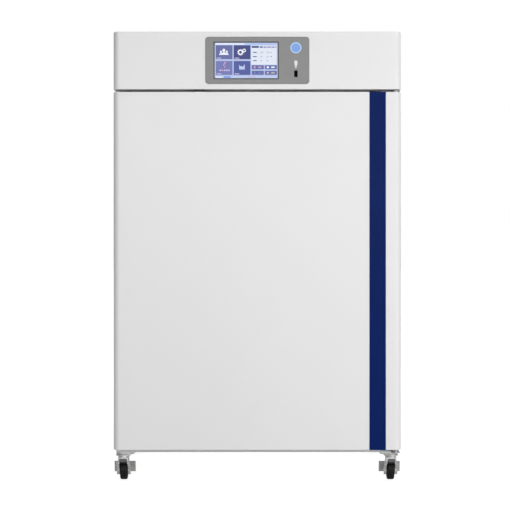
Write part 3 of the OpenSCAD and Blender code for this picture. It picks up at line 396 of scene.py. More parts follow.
def surface(name, colour, roughness, tint=None, dull=None, relief=None, stretch=(1, 1, 1), extra=None):
    """A material with one Principled shader, whose even values sit on its own sockets. Three things
    may wander with the noise: tint is (darker, lighter, scale) of the colour, dull is (lowest,
    highest, scale) of the roughness, and relief is (height in metres, strength, scale) of a fine
    bump. Each may end with the noise's detail."""
    material = bpy.data.materials.new(name)
    material.use_nodes = True
    tree = material.node_tree
    shader = tree.nodes["Principled BSDF"]
    even = {"Base Color": tuple(colour) + (1.0,), "Roughness": roughness}
    fill_sockets(tree, shader, {**even, **(extra or {})})
    uneven = {}
    if tint:
        ramp = add_node(tree, "ValToRGB", {"Fac": noise_of(tree, stretch, *tint[2:])})
        for stop, position, end in zip(ramp.color_ramp.elements, (0.35, 0.65), tint):
            stop.position, stop.color = position, tuple(end) + (1.0,)
        uneven["Base Color"] = ramp.outputs["Color"]
    if dull:
        uneven["Roughness"] = ranged(tree, noise_of(tree, stretch, *dull[2:]), (0.3, 0.7), dull)
    if relief:
        bump = add_node(tree, "Bump", {"Distance": relief[0], "Strength": relief[1],
                                       "Height": noise_of(tree, stretch, *relief[2:])})
        uneven["Normal"] = bump.outputs["Normal"]
    fill_sockets(tree, shader, uneven)
    return material


def powder_coat(name, colour):
    """Powder coat: faint orange peel, satin, with a slow drift in its shade."""
    return surface(name, colour, 0.42, (*shades(colour, 0.012), 2.2), (0.38, 0.47, 35),
                   (0.00006, 0.25, 420, 2), extra={"Coat Weight": 0.08, "Coat Roughness": 0.25})


def brushed_steel(name, colour, along, roughness=(0.25, 0.35)):
    """Brushed stainless sheet: fine streaks along one axis."""
    stretch = tuple(9 if axis == along else 1100 for axis in "xyz")
    return surface(name, colour, 0.3, (*shades(colour, 0.035), 1.0), (*roughness, 1.0),
                   (0.00001, 0.3, 1.0), stretch, {"Metallic": 1.0})


def bright_zinc(name, colour, roughness=(0.26, 0.46)):
    """Zinc plate: soft metal with the cloudy patches of its clear passivation."""
    return surface(name, colour, 0.34, (*shades(colour, 0.14), 90, 5), (*roughness, 140),
                   (0.00004, 0.3, 700), extra={"Metallic": 1.0})


def cast_metal(name, colour):
    """Cast aluminium: grainy and matt."""
    return surface(name, colour, 0.5, (*shades(colour, 0.1), 220), (0.42, 0.62, 300),
                   (0.00012, 0.5, 900), extra={"Metallic": 0.9})


def moulded(name, colour, roughness):
    """Moulded plastic with a fine eroded grain."""
    return surface(name, colour, roughness, (*shades(colour, 0.02), 60),
                   (roughness - 0.05, roughness + 0.06, 120), (0.00005, 0.4, 900))


def soft_rubber(name, colour, roughness, gloss=0.5):
    """Rubber or silicone: dull, with faint bloom."""
    return surface(name, colour, roughness, (*shades(colour, 0.12), 45, 5),
                   (roughness - 0.1, roughness + 0.08, 80), (0.00006, 0.35, 500),
                   extra={"Specular IOR Level": gloss})


def smooth_film(name, colour, roughness, gloss=0.3):
    """Printed or moulded film, nearly smooth. Gloss is how much it mirrors, 0.5 for plain plastic."""
    return surface(name, colour, roughness, (*shades(colour, 0.04), 12),
                   (roughness - 0.04, roughness + 0.05, 60), (0.00002, 0.2, 300),
                   extra={"Specular IOR Level": gloss})


def lit_colour(name, srgb, glow):
    """A colour of the screen's picture, which shines a little, with the faint unevenness of its
    backlight."""
    colour = linear(srgb)
    dim = tuple(0.25 * c for c in colour)
    return surface(name, dim, 0.35, (*shades(dim, 0.05), 28), extra={
        "Emission Color": colour + (1.0,), "Emission Strength": glow, "Specular IOR Level": 0.2})


def tempered_glass(name):
    """Clear glass of the inner door, faintly green, with a trace of handling marks."""
    return surface(name, (0.86, 0.95, 0.93), 0.03, dull=(0.01, 0.05, 9),
                   extra={"Transmission Weight": 1.0, "IOR": 1.05})


def rigid_foam(name):
    """Poured foam: pale grey, with open cells."""
    return surface(name, (0.5, 0.49, 0.46), 0.9, ((0.44, 0.43, 0.4), (0.56, 0.55, 0.52), 70),
                   relief=(0.0006, 0.7, 260))


STAINLESS = (0.60, 0.605, 0.61)
LOOKS = {
    "aluminium_cast": (cast_metal, (0.6, 0.61, 0.62)),
    "brass_fitting": (brushed_steel, (0.62, 0.43, 0.18), "y", (0.2, 0.34)),
    "bush_white": (moulded, (0.78, 0.76, 0.68), 0.4),
    "button_cap": (lit_colour, (122, 162, 228), 0.72),
    "button_mark": (lit_colour, (178, 206, 250), 0.6),
    "button_ring": (lit_colour, (174, 202, 238), 0.7),
    "circuit_board": (smooth_film, (0.02, 0.12, 0.05), 0.35),
    "clear_glass": (tempered_glass,),
    # Dark grey that paints the shade between each caster's crown and wheel
    "guard_grey": (moulded, (0.1, 0.1, 0.102), 0.6),
    "heater_foil": (moulded, (0.4, 0.09, 0.04), 0.5),
    "mark_white": (smooth_film, (0.7, 0.7, 0.69), 0.4),
    "moulded_black": (moulded, (0.014, 0.014, 0.015), 0.45),
    "port_black": (smooth_film, (0.002, 0.002, 0.002), 0.5, 0.03),
    "rigid_foam": (rigid_foam,),
    "rubber_black": (soft_rubber, (0.016, 0.016, 0.016), 0.62),
    "screen_black": (smooth_film, (0.012, 0.013, 0.016), 0.12),
    "seal_grey": (soft_rubber, (0.42, 0.43, 0.44), 0.6),
    "silicone_white": (soft_rubber, (0.76, 0.77, 0.78), 0.45),
    "stainless_x": (brushed_steel, STAINLESS, "x"),
    "stainless_y": (brushed_steel, STAINLESS, "y"),
    "stainless_z": (brushed_steel, STAINLESS, "z"),
    "wheel_black": (soft_rubber, (0.008, 0.0078, 0.0075), 0.55, 0.2),
    "zinc_dull": (bright_zinc, (0.36, 0.36, 0.37)),
    "zinc_plate": (bright_zinc, (0.66, 0.66, 0.65)),
    "zinc_satin": (bright_zinc, (0.5, 0.5, 0.49), (0.62, 0.76)),
}
MADE = {}


def look(name, *recipe):
    """One shared material per name, made as the recipe or else as LOOKS says."""
    if name not in MADE:
        maker, *values = recipe or LOOKS[name]
        MADE[name] = maker(name, *values)
    return MADE[name]


def paint():
    """Powder coat in the colour of the settings."""
    return look("casing_paint", powder_coat, tuple(bpy.context.scene.incubator_cabinet.paint))


def coat_node(material, *nodes):
    """Gives CAD nodes a material, or the look of that name."""
    for node in nodes:
        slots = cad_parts[node].data.materials
        slots.clear()
        slots.append(look(material) if isinstance(material, str) else material)


def dress(piece, material, body, slot, *replaced):
    """Gives a piece its material, or the look of that name, and its body, and hides the nodes that it
    stands for. The slot is not used."""
    piece.data.materials.clear()
    piece.data.materials.append(look(material) if isinstance(material, str) else material)
    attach(piece, body)
    if replaced:
        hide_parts(*replaced)


# Small fasteners


def pan_head(name, places, radius, height, axis, direction):
    """A set of zinc pan-head screws with a cross recess, on the cabinet: each head is a low dome
    (r cos a, h sin a) over a short collar, closed below, and its recess is a shallow plus-shaped pit
    pressed into the grid's middle."""
    steps, rings = 16, 7
    t = np.linspace(0, 2 * PI, steps, endpoint=False)
    f = np.linspace(0, 1, rings)
    under = -0.2 * height
    r = np.concatenate([radius * np.sin(f * PI / 2), [radius, radius, 0.0]])
    h = np.concatenate([height * (0.35 + 0.65 * np.cos(f * PI / 2)), [0.0, under, under]])
    cross = np.maximum(np.abs(np.cos(2 * t)) - 0.55, 0)[:, None] * (r < 0.6 * radius) * (r > 0)
    along = h[None, :] - cross * height * 0.9
    along[:, 0] = height * 0.45
    one = turned(r, along * direction, axis, steps)
    quads = grid_quads(steps, len(r), wrap_rows=True)
    places = np.asarray(places, float)
    points = (one[None, :, :] + places[:, None, :]).reshape(-1, 3)
    faces = (quads[None, :, :] + (np.arange(len(places)) * len(one))[:, None, None]).reshape(-1, 4)
    piece = closed_piece(name, points, faces, 40)
    dress(piece, "zinc_plate", "cabinet", "zinc_plate")


# Operators, one for each group of pieces


class INCUBATOR_OT_casing(bpy.types.Operator):
    """Body panels, head cover and their screws."""

    bl_idname = "incubator.casing"
    bl_label = "Casing"

    def execute(self, context):
        coat_node(paint(), "side_panel_left", "side_panel_right", "top_cover", "rear_panel", "base_pan")
        coat_node("stainless_x", "front_frame", "electronics_deck")
        coat_node("rigid_foam", "insulation_jacket", "door_core")
        self.head_cover(context.scene.incubator_cabinet, context.scene.incubator_control.groove)
        self.rear_screws()
        self.bracket_screws()
        self.buffer()
        return {"FINISHED"}

    def head_cover(self, cabinet, groove):
        """Folded cover over the head, with a window for the control panel."""
        a, b = span("control_bezel")
        fit, corner, thickness = 0.2 * MM, 8 * MM, 1.5 * MM
        opening = b - a - 2 * HIDDEN_EDGE + fit + 2 * groove
        window = round_loop(opening[0], opening[2], corner)
        cover = folded_cover("head_cover", "control_fascia", cabinet.edge_radius, cabinet.fillet,
                             thickness, "front", window, middle("control_bezel")[::2])
        dress(cover, paint(), "cabinet", "casing_paint", "control_fascia")

    def buffer(self):
        """Switch housing under the head's lower edge, clear of the magnet on the door below it."""
        a, b = span("door_magnet")
        rim, clear, sunk = 1 * MM, 0.4 * MM, 1.5 * MM
        top = low("control_fascia")[2] + sunk
        pad = block("head_buffer", (a[0], a[1] - rim, b[2] + clear), (b[0], b[1] + rim, top), 0.6 * MM)
        dress(pad, "rubber_black", "cabinet", "rubber_black")

    def rear_screws(self):
        """Screws along the rear panel's edges."""
        a, b = span("rear_panel")
        inset, y = 9 * MM, b[1] + 0.6 * MM
        upright = np.linspace(a[2] + 90 * MM, b[2] - 90 * MM, 6)
        level = np.linspace(a[0] + 40 * MM, b[0] - 40 * MM, 5)
        places = [(x, y, z) for x in (a[0] + inset, b[0] - inset) for z in upright]
        places += [(x, y, z) for z in (a[2] + inset, b[2] - inset) for x in level]
        pan_head("rear_panel_screws", places, 3.6 * MM, 2.0 * MM, "y", 1)

    def bracket_screws(self):
        """Two screws in each outer hinge bracket's leaf."""
        a, b = span("hinge_brackets")
        leaf, sunk = 3 * MM, 0.5 * MM
        places = [(a[0] + dx, b[1] - leaf - sunk, z) for z in (a[2] + 17 * MM, b[2] - 12 * MM)
                  for dx in (9 * MM, 30 * MM)]
        pan_head("bracket_screws", places, 3.2 * MM, 1.4 * MM, "y", -1)


class INCUBATOR_OT_outer_door(bpy.types.Operator):
    """Outer door with its strip, finger pull, liner and magnetic gasket."""

    bl_idname = "incubator.outer_door"
    bl_label = "Outer door"

    def execute(self, context):
        cabinet = context.scene.incubator_cabinet
        coat_node(look("strip_blue", smooth_film, tuple(cabinet.strip), 0.32, 0.03), "door_strip")
        coat_node("moulded_black", "door_pull", "door_magnet")
        coat_node("stainless_z", "door_liner")
        coat_node("bush_white", "door_bushes")
        coat_node("zinc_dull", "hinge_brackets")
        self.shell(cabinet)
        self.gasket()
        return {"FINISHED"}

    def shell(self, cabinet):
        """Folded door sheet, with a window in its left edge inside the finger pull's lip."""
        a, b = span("door_pull")
        lip, corner = 5.6 * MM, 5 * MM
        opening = b - a - 2 * lip
        window = round_loop(opening[1], opening[2], corner)
        shell = folded_cover("door_shell", "door_skin", cabinet.edge_radius, cabinet.fillet,
                             cabinet.sheet, "left", window, middle("door_pull")[1:])
        dress(shell, paint(), "outer_door", "casing_paint", "door_skin")

    def gasket(self):
        """Bellows seal: a superellipse section whose flanks are drawn in at mid height, so that it
        can fold, carried round the door."""
        a, b = span("door_gasket")
        depth, width = b[1] - a[1], 17 * MM
        t = np.linspace(0, 2 * PI, 36, endpoint=False)
        across, up = blunted(np.cos(t), 0.6), blunted(np.sin(t), 0.5)
        waist = 1 - 0.22 * np.exp(-((up / 0.35) ** 2))
        profile = np.stack([width / 2 * across * waist, a[1] + depth / 2 * (1 + up)], 1)
        seal = swept_loop("door_seal", "door_gasket", width, 30 * MM - width / 2, profile)
        dress(seal, "seal_grey", "outer_door", "seal_grey", "door_gasket")


SCREEN_UNITS = (855.0, 478.0)
SCREEN_COLOURS = {
    "paper": (180, 193, 230), "pale": (190, 206, 238), "white": (244, 246, 252),
    "sheet": (224, 230, 242), "tile_a": (100, 107, 162), "tile_b": (66, 72, 131),
    "tile_c": (116, 121, 180), "tile_d": (79, 91, 158), "key": (92, 103, 165),
    "ink": (62, 80, 130), "blue": (114, 151, 230), "rose": (206, 160, 192),
    "lilac": (206, 198, 232), "sky": (166, 196, 240), "red": (196, 70, 104), "sand": (198, 184, 166),
}


class Picture:
    """Collects flat shapes of the screen's picture, in units of SCREEN_UNITS from its top left."""

    def __init__(self, centre, size, y):
        self.centre, self.size, self.y = centre, size, y
        self.points, self.faces, self.colours, self.indices = [], [], [], []
        self.count = 0

    def add(self, outline, colour, layer):
        """One filled outline, an array of (across, down) units, on a numbered layer."""
        outline = np.asarray(outline, float)
        unit = self.size[0] / SCREEN_UNITS[0], self.size[1] / SCREEN_UNITS[1]
        x = self.centre[0] - self.size[0] / 2 + outline[:, 0] * unit[0]
        z = self.centre[1] + self.size[1] / 2 - outline[:, 1] * unit[1]
        y = np.full(len(outline), self.y - layer * 0.03 * MM)
        self.points.append(np.stack([x, y, z], 1))
        area = np.sum(x * np.roll(z, -1) - np.roll(x, -1) * z)
        face = list(range(self.count, self.count + len(outline)))
        self.faces.append(face if area > 0 else face[::-1])
        self.count += len(outline)
        if colour not in self.colours:
            self.colours.append(colour)
        self.indices.append(self.colours.index(colour))

    def box(self, x0, y0, x1, y1, colour, layer, radius=0.0):
        """A rectangle, with round corners where radius is given."""
        if radius:
            loop = round_loop(x1 - x0, y1 - y0, radius, 6) + ((x0 + x1) / 2, (y0 + y1) / 2)
        else:
            loop = [(x0, y0), (x1, y0), (x1, y1), (x0, y1)]
        self.add(loop, colour, layer)

    def disc(self, x, y, rx, ry, colour, layer, end=2 * PI, steps=24):
        """An ellipse, or the slice of one that ends at an angle: (x + rx cos t, y - ry sin t)."""
        t = np.linspace(0, end, steps, endpoint=end < 2 * PI)
        self.add(np.stack([x + rx * np.cos(t), y - ry * np.sin(t)], 1), colour, layer)

    def gear(self, x, y, radius, teeth, colour, layer):
        """A gear outline: its radius steps between two values by the sign of cos(teeth * t)."""
        t = np.linspace(0, 2 * PI, teeth * 8, endpoint=False)
        r = radius * (0.88 + 0.12 * np.tanh(4 * np.cos(teeth * t)))
        self.add(np.stack([x + r * np.cos(t), y - r * np.sin(t)], 1), colour, layer)

    def number(self, text, x, y, height, colour, layer):
        """A plain number, from Blender's own font, with its left end at x and its middle at y."""
        curve = bpy.data.curves.new("number", "FONT")
        curve.body, curve.size = text, height * 1.4
        holder = bpy.data.objects.new("number", curve)
        bpy.context.scene.collection.objects.link(holder)
        graph = bpy.context.evaluated_depsgraph_get()
        shape = bpy.data.meshes.new_from_object(holder.evaluated_get(graph))
        flat = np.zeros(len(shape.vertices) * 3)
        shape.vertices.foreach_get("co", flat)
        flat = flat.reshape(-1, 3)
        for polygon in shape.polygons:
            corner = flat[list(polygon.vertices)]
            self.add(np.stack([x + corner[:, 0], y + height / 2 - corner[:, 1]], 1), colour, layer)
        bpy.data.objects.remove(holder)
        bpy.data.curves.remove(curve)
        bpy.data.meshes.remove(shape)

    def build(self, name, glow):
        """The finished picture as one mesh, each shape a film of 0.02 mm."""
        piece = make_object(name, np.concatenate(self.points), self.faces)
        for colour in self.colours:
            lit = look(f"screen_{colour}", lit_colour, SCREEN_COLOURS[colour], glow)
            piece.data.materials.append(lit)
        piece.data.polygons.foreach_set("material_index", self.indices)
        merge_doubles(piece, 1e-7, outwards=False)
        film = piece.modifiers.new("film", "SOLIDIFY")
        film.thickness, film.offset = 0.02 * MM, -1
        return piece


class INCUBATOR_OT_control_panel(bpy.types.Operator):
    """Control panel: screen with its picture, power button, plug mark and data port."""

    bl_idname = "incubator.control_panel"
    bl_label = "Control panel"

    def execute(self, context):
        control = context.scene.incubator_control
        coat_node(look("bezel_grey", moulded, tuple(control.bezel), 0.5), "control_bezel")
        coat_node("screen_black", "touch_screen")
        coat_node("port_black", "data_port")
        coat_node("circuit_board", "control_board")
        self.picture(control.glow)
        self.button()
        self.plug_mark()
        return {"FINISHED"}

    def picture(self, glow):
        """The screen's picture, a plain menu of tiles, values and keys."""
        a, b = span("touch_screen")
        rim = HIDDEN_EDGE + 2.6 * MM
        size = (b[0] - a[0] - 2 * rim, b[2] - a[2] - 2 * rim)
        shot = Picture(((a[0] + b[0]) / 2, (a[2] + b[2]) / 2), size, a[1] - 0.05 * MM)
        shot.box(0, 0, *SCREEN_UNITS, "paper", 0)
        shot.box(6, 5, 500, 30, "pale", 1)
        shot.box(18, 10, 400, 24, "white", 2)
        shot.box(430, 8, 690, 29, "sky", 2)
        tiles = [("tile_a", 15, 34), ("tile_b", 259, 34), ("tile_c", 15, 247), ("tile_d", 259, 247)]
        for tile, x, y in tiles:
            shot.box(x, y, x + 227, y + 188, tile, 1, 5)
            shot.box(x + 12, y + 168, x + 76, y + 178, "lilac", 2, 3)
        self.people(shot, 125, 125)
        self.gears(shot, 350, 125)
        self.colonies(shot, 132, 340)
        self.chart(shot, 371, 330)
        self.values(shot)
        self.keys(shot)
        shot.box(10, 452, 845, 474, "pale", 1)
        shot.box(20, 458, 105, 470, "white", 2, 3)
        shot.box(122, 453, 218, 474, "blue", 2, 3)
        for x in range(448, 541, 23):
            shot.box(x, 457, x + 15, 470, "rose", 2, 3)
        piece = shot.build("screen_picture", glow)
        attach(piece, "cabinet")

    def people(self, shot, x, y):
        """Three figures: round heads over half-round shoulders."""
        for dx, dy, s in ((-40, 10, 0.9), (40, 10, 0.9), (0, -4, 1.3)):
            shot.disc(x + dx, y + dy - 14 * s, 15 * s, 17 * s, "white", 2)
            shot.disc(x + dx, y + dy + 32 * s, 28 * s, 26 * s, "white", 2, PI)

    def gears(self, shot, x, y):
        """A large and a small gear, each with a round hole."""
        for dx, dy, radius, teeth in ((0, 4, 44, 9), (50, -20, 27, 8)):
            shot.gear(x + dx, y + dy, radius, teeth, "white", 2)
            shot.disc(x + dx, y + dy, radius * 0.45, radius * 0.45, "tile_b", 3)

    def colonies(self, shot, x, y):
        """Rising bubbles that grow as they wander, at x + 12 sin(2.1 i), over a row of beads."""
        for i in range(5):
            size = 6 + 1.3 * i
            shot.disc(x + 12 * math.sin(2.1 * i), y - 4 - 17 * i, size, size, "rose", 2, steps=12)
        for i, colour in enumerate(("lilac", "rose", "lilac", "lilac", "lilac")):
            shot.box(x - 66 + i * 29, y + 22, x - 44 + i * 29, y + 42, colour, 2, 8)

    def chart(self, shot, x, y):
        """A filled curve that rises at both ends, over its base line."""
        curve = np.array([(-40, -40), (-34, -22), (-20, -12), (-8, -16), (4, -4), (18, -12), (28, -30),
                          (36, -38), (38, 24), (-38, 24)]) + (x, y)
        shot.add(curve, "pale", 2)
        shot.box(x - 38, y + 28, x + 38, y + 34, "pale", 2)

    def values(self, shot):
        """The table: a dark header strip and three rows of plain numbers."""
        shot.box(497, 36, 842, 296, "sheet", 1)
        shot.box(503, 43, 600, 70, "ink", 2, 3)
        shot.box(604, 47, 838, 70, "paper", 2, 3)
        shot.box(618, 50, 650, 68, "ink", 3, 3)
        for i in range(6):
            shot.box(672 + i * 28, 55, 692 + i * 28, 66, "rose" if i % 2 else "ink", 3, 3)
        for text, y, dot in (("37.0", 131, "sand"), ("5.0", 187, "red"), ("95", 243, None)):
            shot.box(520, y - 6, 572, y + 6, "ink", 2, 4)
            shot.number(text, 620, y, 17, "ink", 2)
            shot.number(text, 705, y, 17, "ink", 2)
            if dot:
                shot.disc(768, y, 8, 8, dot, 2)

    def keys(self, shot):
        """Four keys, each with a round mark and a short bar."""
        marks = (("rose", 504, 304), ("white", 682, 304), ("tile_c", 504, 379), ("sand", 682, 379))
        for mark, x, y in marks:
            shot.box(x, y, x + 163, y + 54, "key", 1, 5)
            shot.disc(x + 40, y + 27, 17, 13, mark, 2)
            shot.box(x + 84, y + 18, x + 134, y + 36, mark, 2, 6)

    def button(self):
        """Power button: a lit ring round a shallow dish, with a bar and a broken ring as its mark."""
        collar, cap = middle("button_collar"), middle("power_button")
        front, seat = low("button_collar")[1], high("button_collar")[1] - 8 * MM
        a, b = span("power_button")
        face, inner = a[1], (b[0] - a[0]) / 2
        bore, outer, edge = inner + 0.3 * MM, inner + 4.2 * MM, 0.9 * MM
        turn = np.linspace(0, PI / 2, 6)
        shoulder = np.stack([outer - edge + edge * np.sin(turn), front + edge - edge * np.cos(turn)], 1)
        ring = [(bore, seat), (bore, front + 0.5 * MM), (inner + 0.7 * MM, front), *shoulder,
                (outer, front + 3 * MM), (outer + 3 * MM, front + 3.6 * MM),
                (outer + 3 * MM, front + 6.6 * MM), (outer - 2 * MM, front + 6.6 * MM),
                (outer - 2 * MM, seat), (bore, seat)]
        piece = revolved("button_ring", ring, (collar[0], 0, collar[2]), "y", 64)
        dress(piece, "button_ring", "cabinet", "button_ring", "button_collar")

        hollow, stem = 0.9 * MM, 3 * MM
        r = np.linspace(0, inner - 0.6 * MM, 9)
        dish = [*np.stack([r, face + hollow - hollow * (r / inner) ** 2], 1),
                (inner, face + 0.7 * MM), (inner, face + 7.6 * MM), (stem, face + 7.6 * MM),
                (stem, b[1]), (0, b[1])]
        knob = revolved("button_cap", dish, (cap[0], 0, cap[2]), "y", 64)
        dress(knob, "button_cap", "power_button", "button_cap", "power_button")

        t = np.linspace(math.radians(125), math.radians(415), 30)
        radius, half = 4.6 * MM, 0.45 * MM
        arc = np.stack([np.cos(t), np.sin(t)], 1)
        loop = np.concatenate([(radius + half) * arc, ((radius - half) * arc)[::-1]])
        mark = flat_plate("button_mark", loop, face + 0.3 * MM, face + 0.9 * MM, (cap[0], 0, cap[2]))
        dress(mark, "button_mark", "power_button", "button_cap")
        bar = flat_plate("button_bar", round_loop(0.9 * MM, 5 * MM, 0.4 * MM, 5), face + 0.4 * MM,
                         face + 1.0 * MM, (cap[0], 0, cap[2] + 3.4 * MM))
        dress(bar, "button_mark", "power_button", "button_cap")

    def plug_mark(self):
        """White mark over the data port: a plain plug, broad above and drawn down to its lead. Its
        half width at height v from -1 to 1 is 1.5 + 2.3 (1 + tanh(4 v + 1.2)) / 2, rounded off above
        by the fourth root of 1 - v**8."""
        y, half_height, gap = low("control_bezel")[1], 9.2 * MM, 3.6 * MM
        v = np.linspace(-0.98, 0.98, 25)
        half = (1.5 + 1.15 * (1 + np.tanh(4 * v + 1.2))) * MM * np.where(v > 0, (1 - v ** 8) ** 0.25, 1)
        side = np.stack([half, half_height * v], 1)
        loop = np.concatenate([side, (side * (-1, 1))[::-1]])
        centre = (middle("power_button")[0], 0, high("data_port")[2] + gap + half_height)
        mark = flat_plate("plug_mark", loop, y - 0.12 * MM, y + 0.1 * MM, centre)
        dress(mark, "mark_white", "cabinet", "bezel_grey")


class INCUBATOR_OT_glass_door(bpy.types.Operator):
    """Glass inner door with its handle, hinges and mouth gasket."""

    bl_idname = "incubator.glass_door"
    bl_label = "Glass door"

    def execute(self, context):
        coat_node("clear_glass", "inner_glass")
        coat_node("zinc_plate", "glass_hinge_brackets", "glass_fittings")
        coat_node("rubber_black", "magnetic_catch")
        self.handle()
        self.mouth_seal()
        return {"FINISHED"}

    def handle(self):
        """Bar handle: a stadium section carried along a bow whose ends come back to the glass. For s
        from -1 to 1 the middle line stands depth * (1 - |s|**7) off the glass, at height s times half
        the length, and the section is offset along the line's normal."""
        a, b = span("glass_handle")
        s = np.linspace(-1, 1, 41)
        half_width, half_thick, end = 8 * MM, 3 * MM, 6 * MM
        depth = b[1] - a[1] - half_thick
        mid_y = b[1] - depth * (1 - np.abs(s) ** 7)
        mid_z = (a[2] + b[2]) / 2 + s * ((b[2] - a[2]) / 2 - end)
        slope = np.gradient(mid_y, s), np.gradient(mid_z, s)
        length = np.hypot(*slope)
        ny, nz = -slope[1] / length, slope[0] / length
        t = np.linspace(0, 2 * PI, 20, endpoint=False)
        wide, thick = half_width * blunted(np.cos(t), 0.5), half_thick * np.sin(t)
        x = (a[0] + b[0]) / 2 + np.repeat(wide[None, :], len(s), 0)
        y = np.minimum(mid_y[:, None] + ny[:, None] * thick[None, :], b[1])
        z = mid_z[:, None] + nz[:, None] * thick[None, :]
        points = np.stack([x, y, z], -1).reshape(-1, 3)
        cap = np.arange(len(t))
        faces = [*grid_quads(len(s), len(t), wrap_columns=True), cap, cap + (len(s) - 1) * len(t)]
        bar = closed_piece("glass_bar_handle", points, faces, 50)
        dress(bar, "moulded_black", "glass_door", "moulded_black", "glass_handle")

    def mouth_seal(self):
        """Silicone bulb seal: a flat foot with a half-round bulb on it, carried round the mouth."""
        a, b = span("mouth_gasket")
        half, sole, neck, bulb_radius = 5 * MM, 1.2 * MM, 1.4 * MM, 3.4 * MM
        t = np.linspace(0, PI, 15)
        bulb = np.stack([bulb_radius * np.cos(t), b[1] - neck - (b[1] - a[1] - neck) * np.sin(t)], 1)
        foot = [(-half, b[1] - sole), (-half, b[1]), (half, b[1]), (half, b[1] - sole)]
        seal = swept_loop("mouth_seal", "mouth_gasket", 2 * half, 36 * MM, [*bulb, *foot])
        dress(seal, "silicone_white", "cabinet", "silicone_white", "mouth_gasket")


class INCUBATOR_OT_chamber(bpy.types.Operator):
    """Chamber, shelves, water pan, duct, fan and probes."""

    bl_idname = "incubator.chamber"
    bl_label = "Chamber"

    def execute(self, context):
        coat_node("stainless_y", "inner_chamber", "shelf_supports")
        coat_node("stainless_z", "fan_duct_panel")
        coat_node("stainless_x", "shelf_lower", "shelf_middle", "shelf_upper", "water_pan",
                  "chamber_probes")
        coat_node("aluminium_cast", "fan_impeller", "fan_motor", "power_supply", "gas_valve")
        coat_node("heater_foil", "heater_mats")
        return {"FINISHED"}


class INCUBATOR_OT_casters(bpy.types.Operator):
    """Casters: wheels, forks, races, bolts and brake pedals."""

    bl_idname = "incubator.casters"
    bl_label = "Casters"

    def execute(self, context):
        corners = [f"{end}_{side}" for end in ("front", "rear") for side in ("left", "right")]
        coat_node("zinc_plate", "caster_plates", *[f"caster_fork_{c}" for c in corners])
        coat_node("zinc_satin", "brake_pedal_left", "brake_pedal_right")
        for corner in corners:
            self.wheel(corner)
            # Dark strips that paint the shade between the fork's crown and the wheel
            self.crown_shade_strips(corner)
        self.plate_bolts(corners)
        return {"FINISHED"}

    def wheel(self, corner):
        """Wheel: a tread with round shoulders and two shallow grooves, a dished web with a rim ring
        and a hub with its bore. The profile runs from the bore out and back on the other side."""
        node = f"caster_wheel_{corner}"
        a, b = span(node)
        radius, hub = (b[2] - a[2]) / 2, (b[0] - a[0]) / 2
        tread, shoulder = hub - 0.8 * MM, 4 * MM
        web, groove = tread - 3.4 * MM, radius - 0.35 * MM
        t = np.linspace(0, PI / 2, 7)
        crown = np.stack([radius - shoulder + shoulder * np.sin(t),
                          tread - shoulder + shoulder * np.cos(t)], 1)
        side = np.vstack([
            (4.05 * MM, hub), (8.4 * MM, hub), (9 * MM, hub - 0.6 * MM), (9 * MM, tread - 3 * MM),
            (10.5 * MM, web), (radius - 9.5 * MM, web), (radius - 8.5 * MM, tread - 0.4 * MM),
            (radius - 8 * MM, tread), crown, (radius, 3.4 * MM), (groove, 3.1 * MM),
            (groove, 2.6 * MM), (radius, 2.3 * MM)])
        profile = np.concatenate([side, (side * (1, -1))[::-1], side[:1]])
        piece = revolved(f"wheel_{corner}", profile, (a + b) / 2, "x", 72)
        dress(piece, "wheel_black", f"wheel_{corner}", "wheel_black", node)

    def crown_shade_strips(self, corner):
        """Painted shade under the fork's crown: a dark grey band and a black strip behind it, both
        between the fork's legs, stand for the shade in the gap between the crown and the wheel. Each
        row holds its name, look, slot, and how far its front lies behind the fork's and its bottom and
        top lie below the fork's top."""
        a, b = span(f"caster_fork_{corner}")
        x, half, thick = (a[0] + b[0]) / 2, 9.3 * MM, 0.9 * MM
        for name, colour, slot, behind, bottom, top in (
                ("crown_shade_band", "guard_grey", "rubber_black", 1.2 * MM, 18.6 * MM, 10.5 * MM),
                ("crown_shade_edge", "wheel_black", "wheel_black", 8.2 * MM, 23.2 * MM, 18.2 * MM)):
            y = a[1] + behind
            strip = block(f"{name}_{corner}", (x - half, y, b[2] - bottom),
                          (x + half, y + thick, b[2] - top), 0.3 * MM)
            dress(strip, colour, f"caster_{corner}", slot)

    def plate_bolts(self, corners):
        """Four bolts with round heads under each caster's top plate, which lies inwards of its fork."""
        z = high("caster_plates")[2] - 2.5 * MM
        inwards, behind, half_x, half_y = 9 * MM, 18 * MM, 14 * MM, 18 * MM
        places = []
        for corner in corners:
            a, b = span(f"caster_fork_{corner}")
            x = (a[0] + b[0]) / 2 - math.copysign(inwards, a[0] + b[0])
            y = a[1] + behind
            places += [(x + sx * half_x, y + sy * half_y, z) for sx in (-1, 1) for sy in (-1, 1)]
        pan_head("caster_bolts", places, 4.2 * MM, 2.4 * MM, "z", -1)


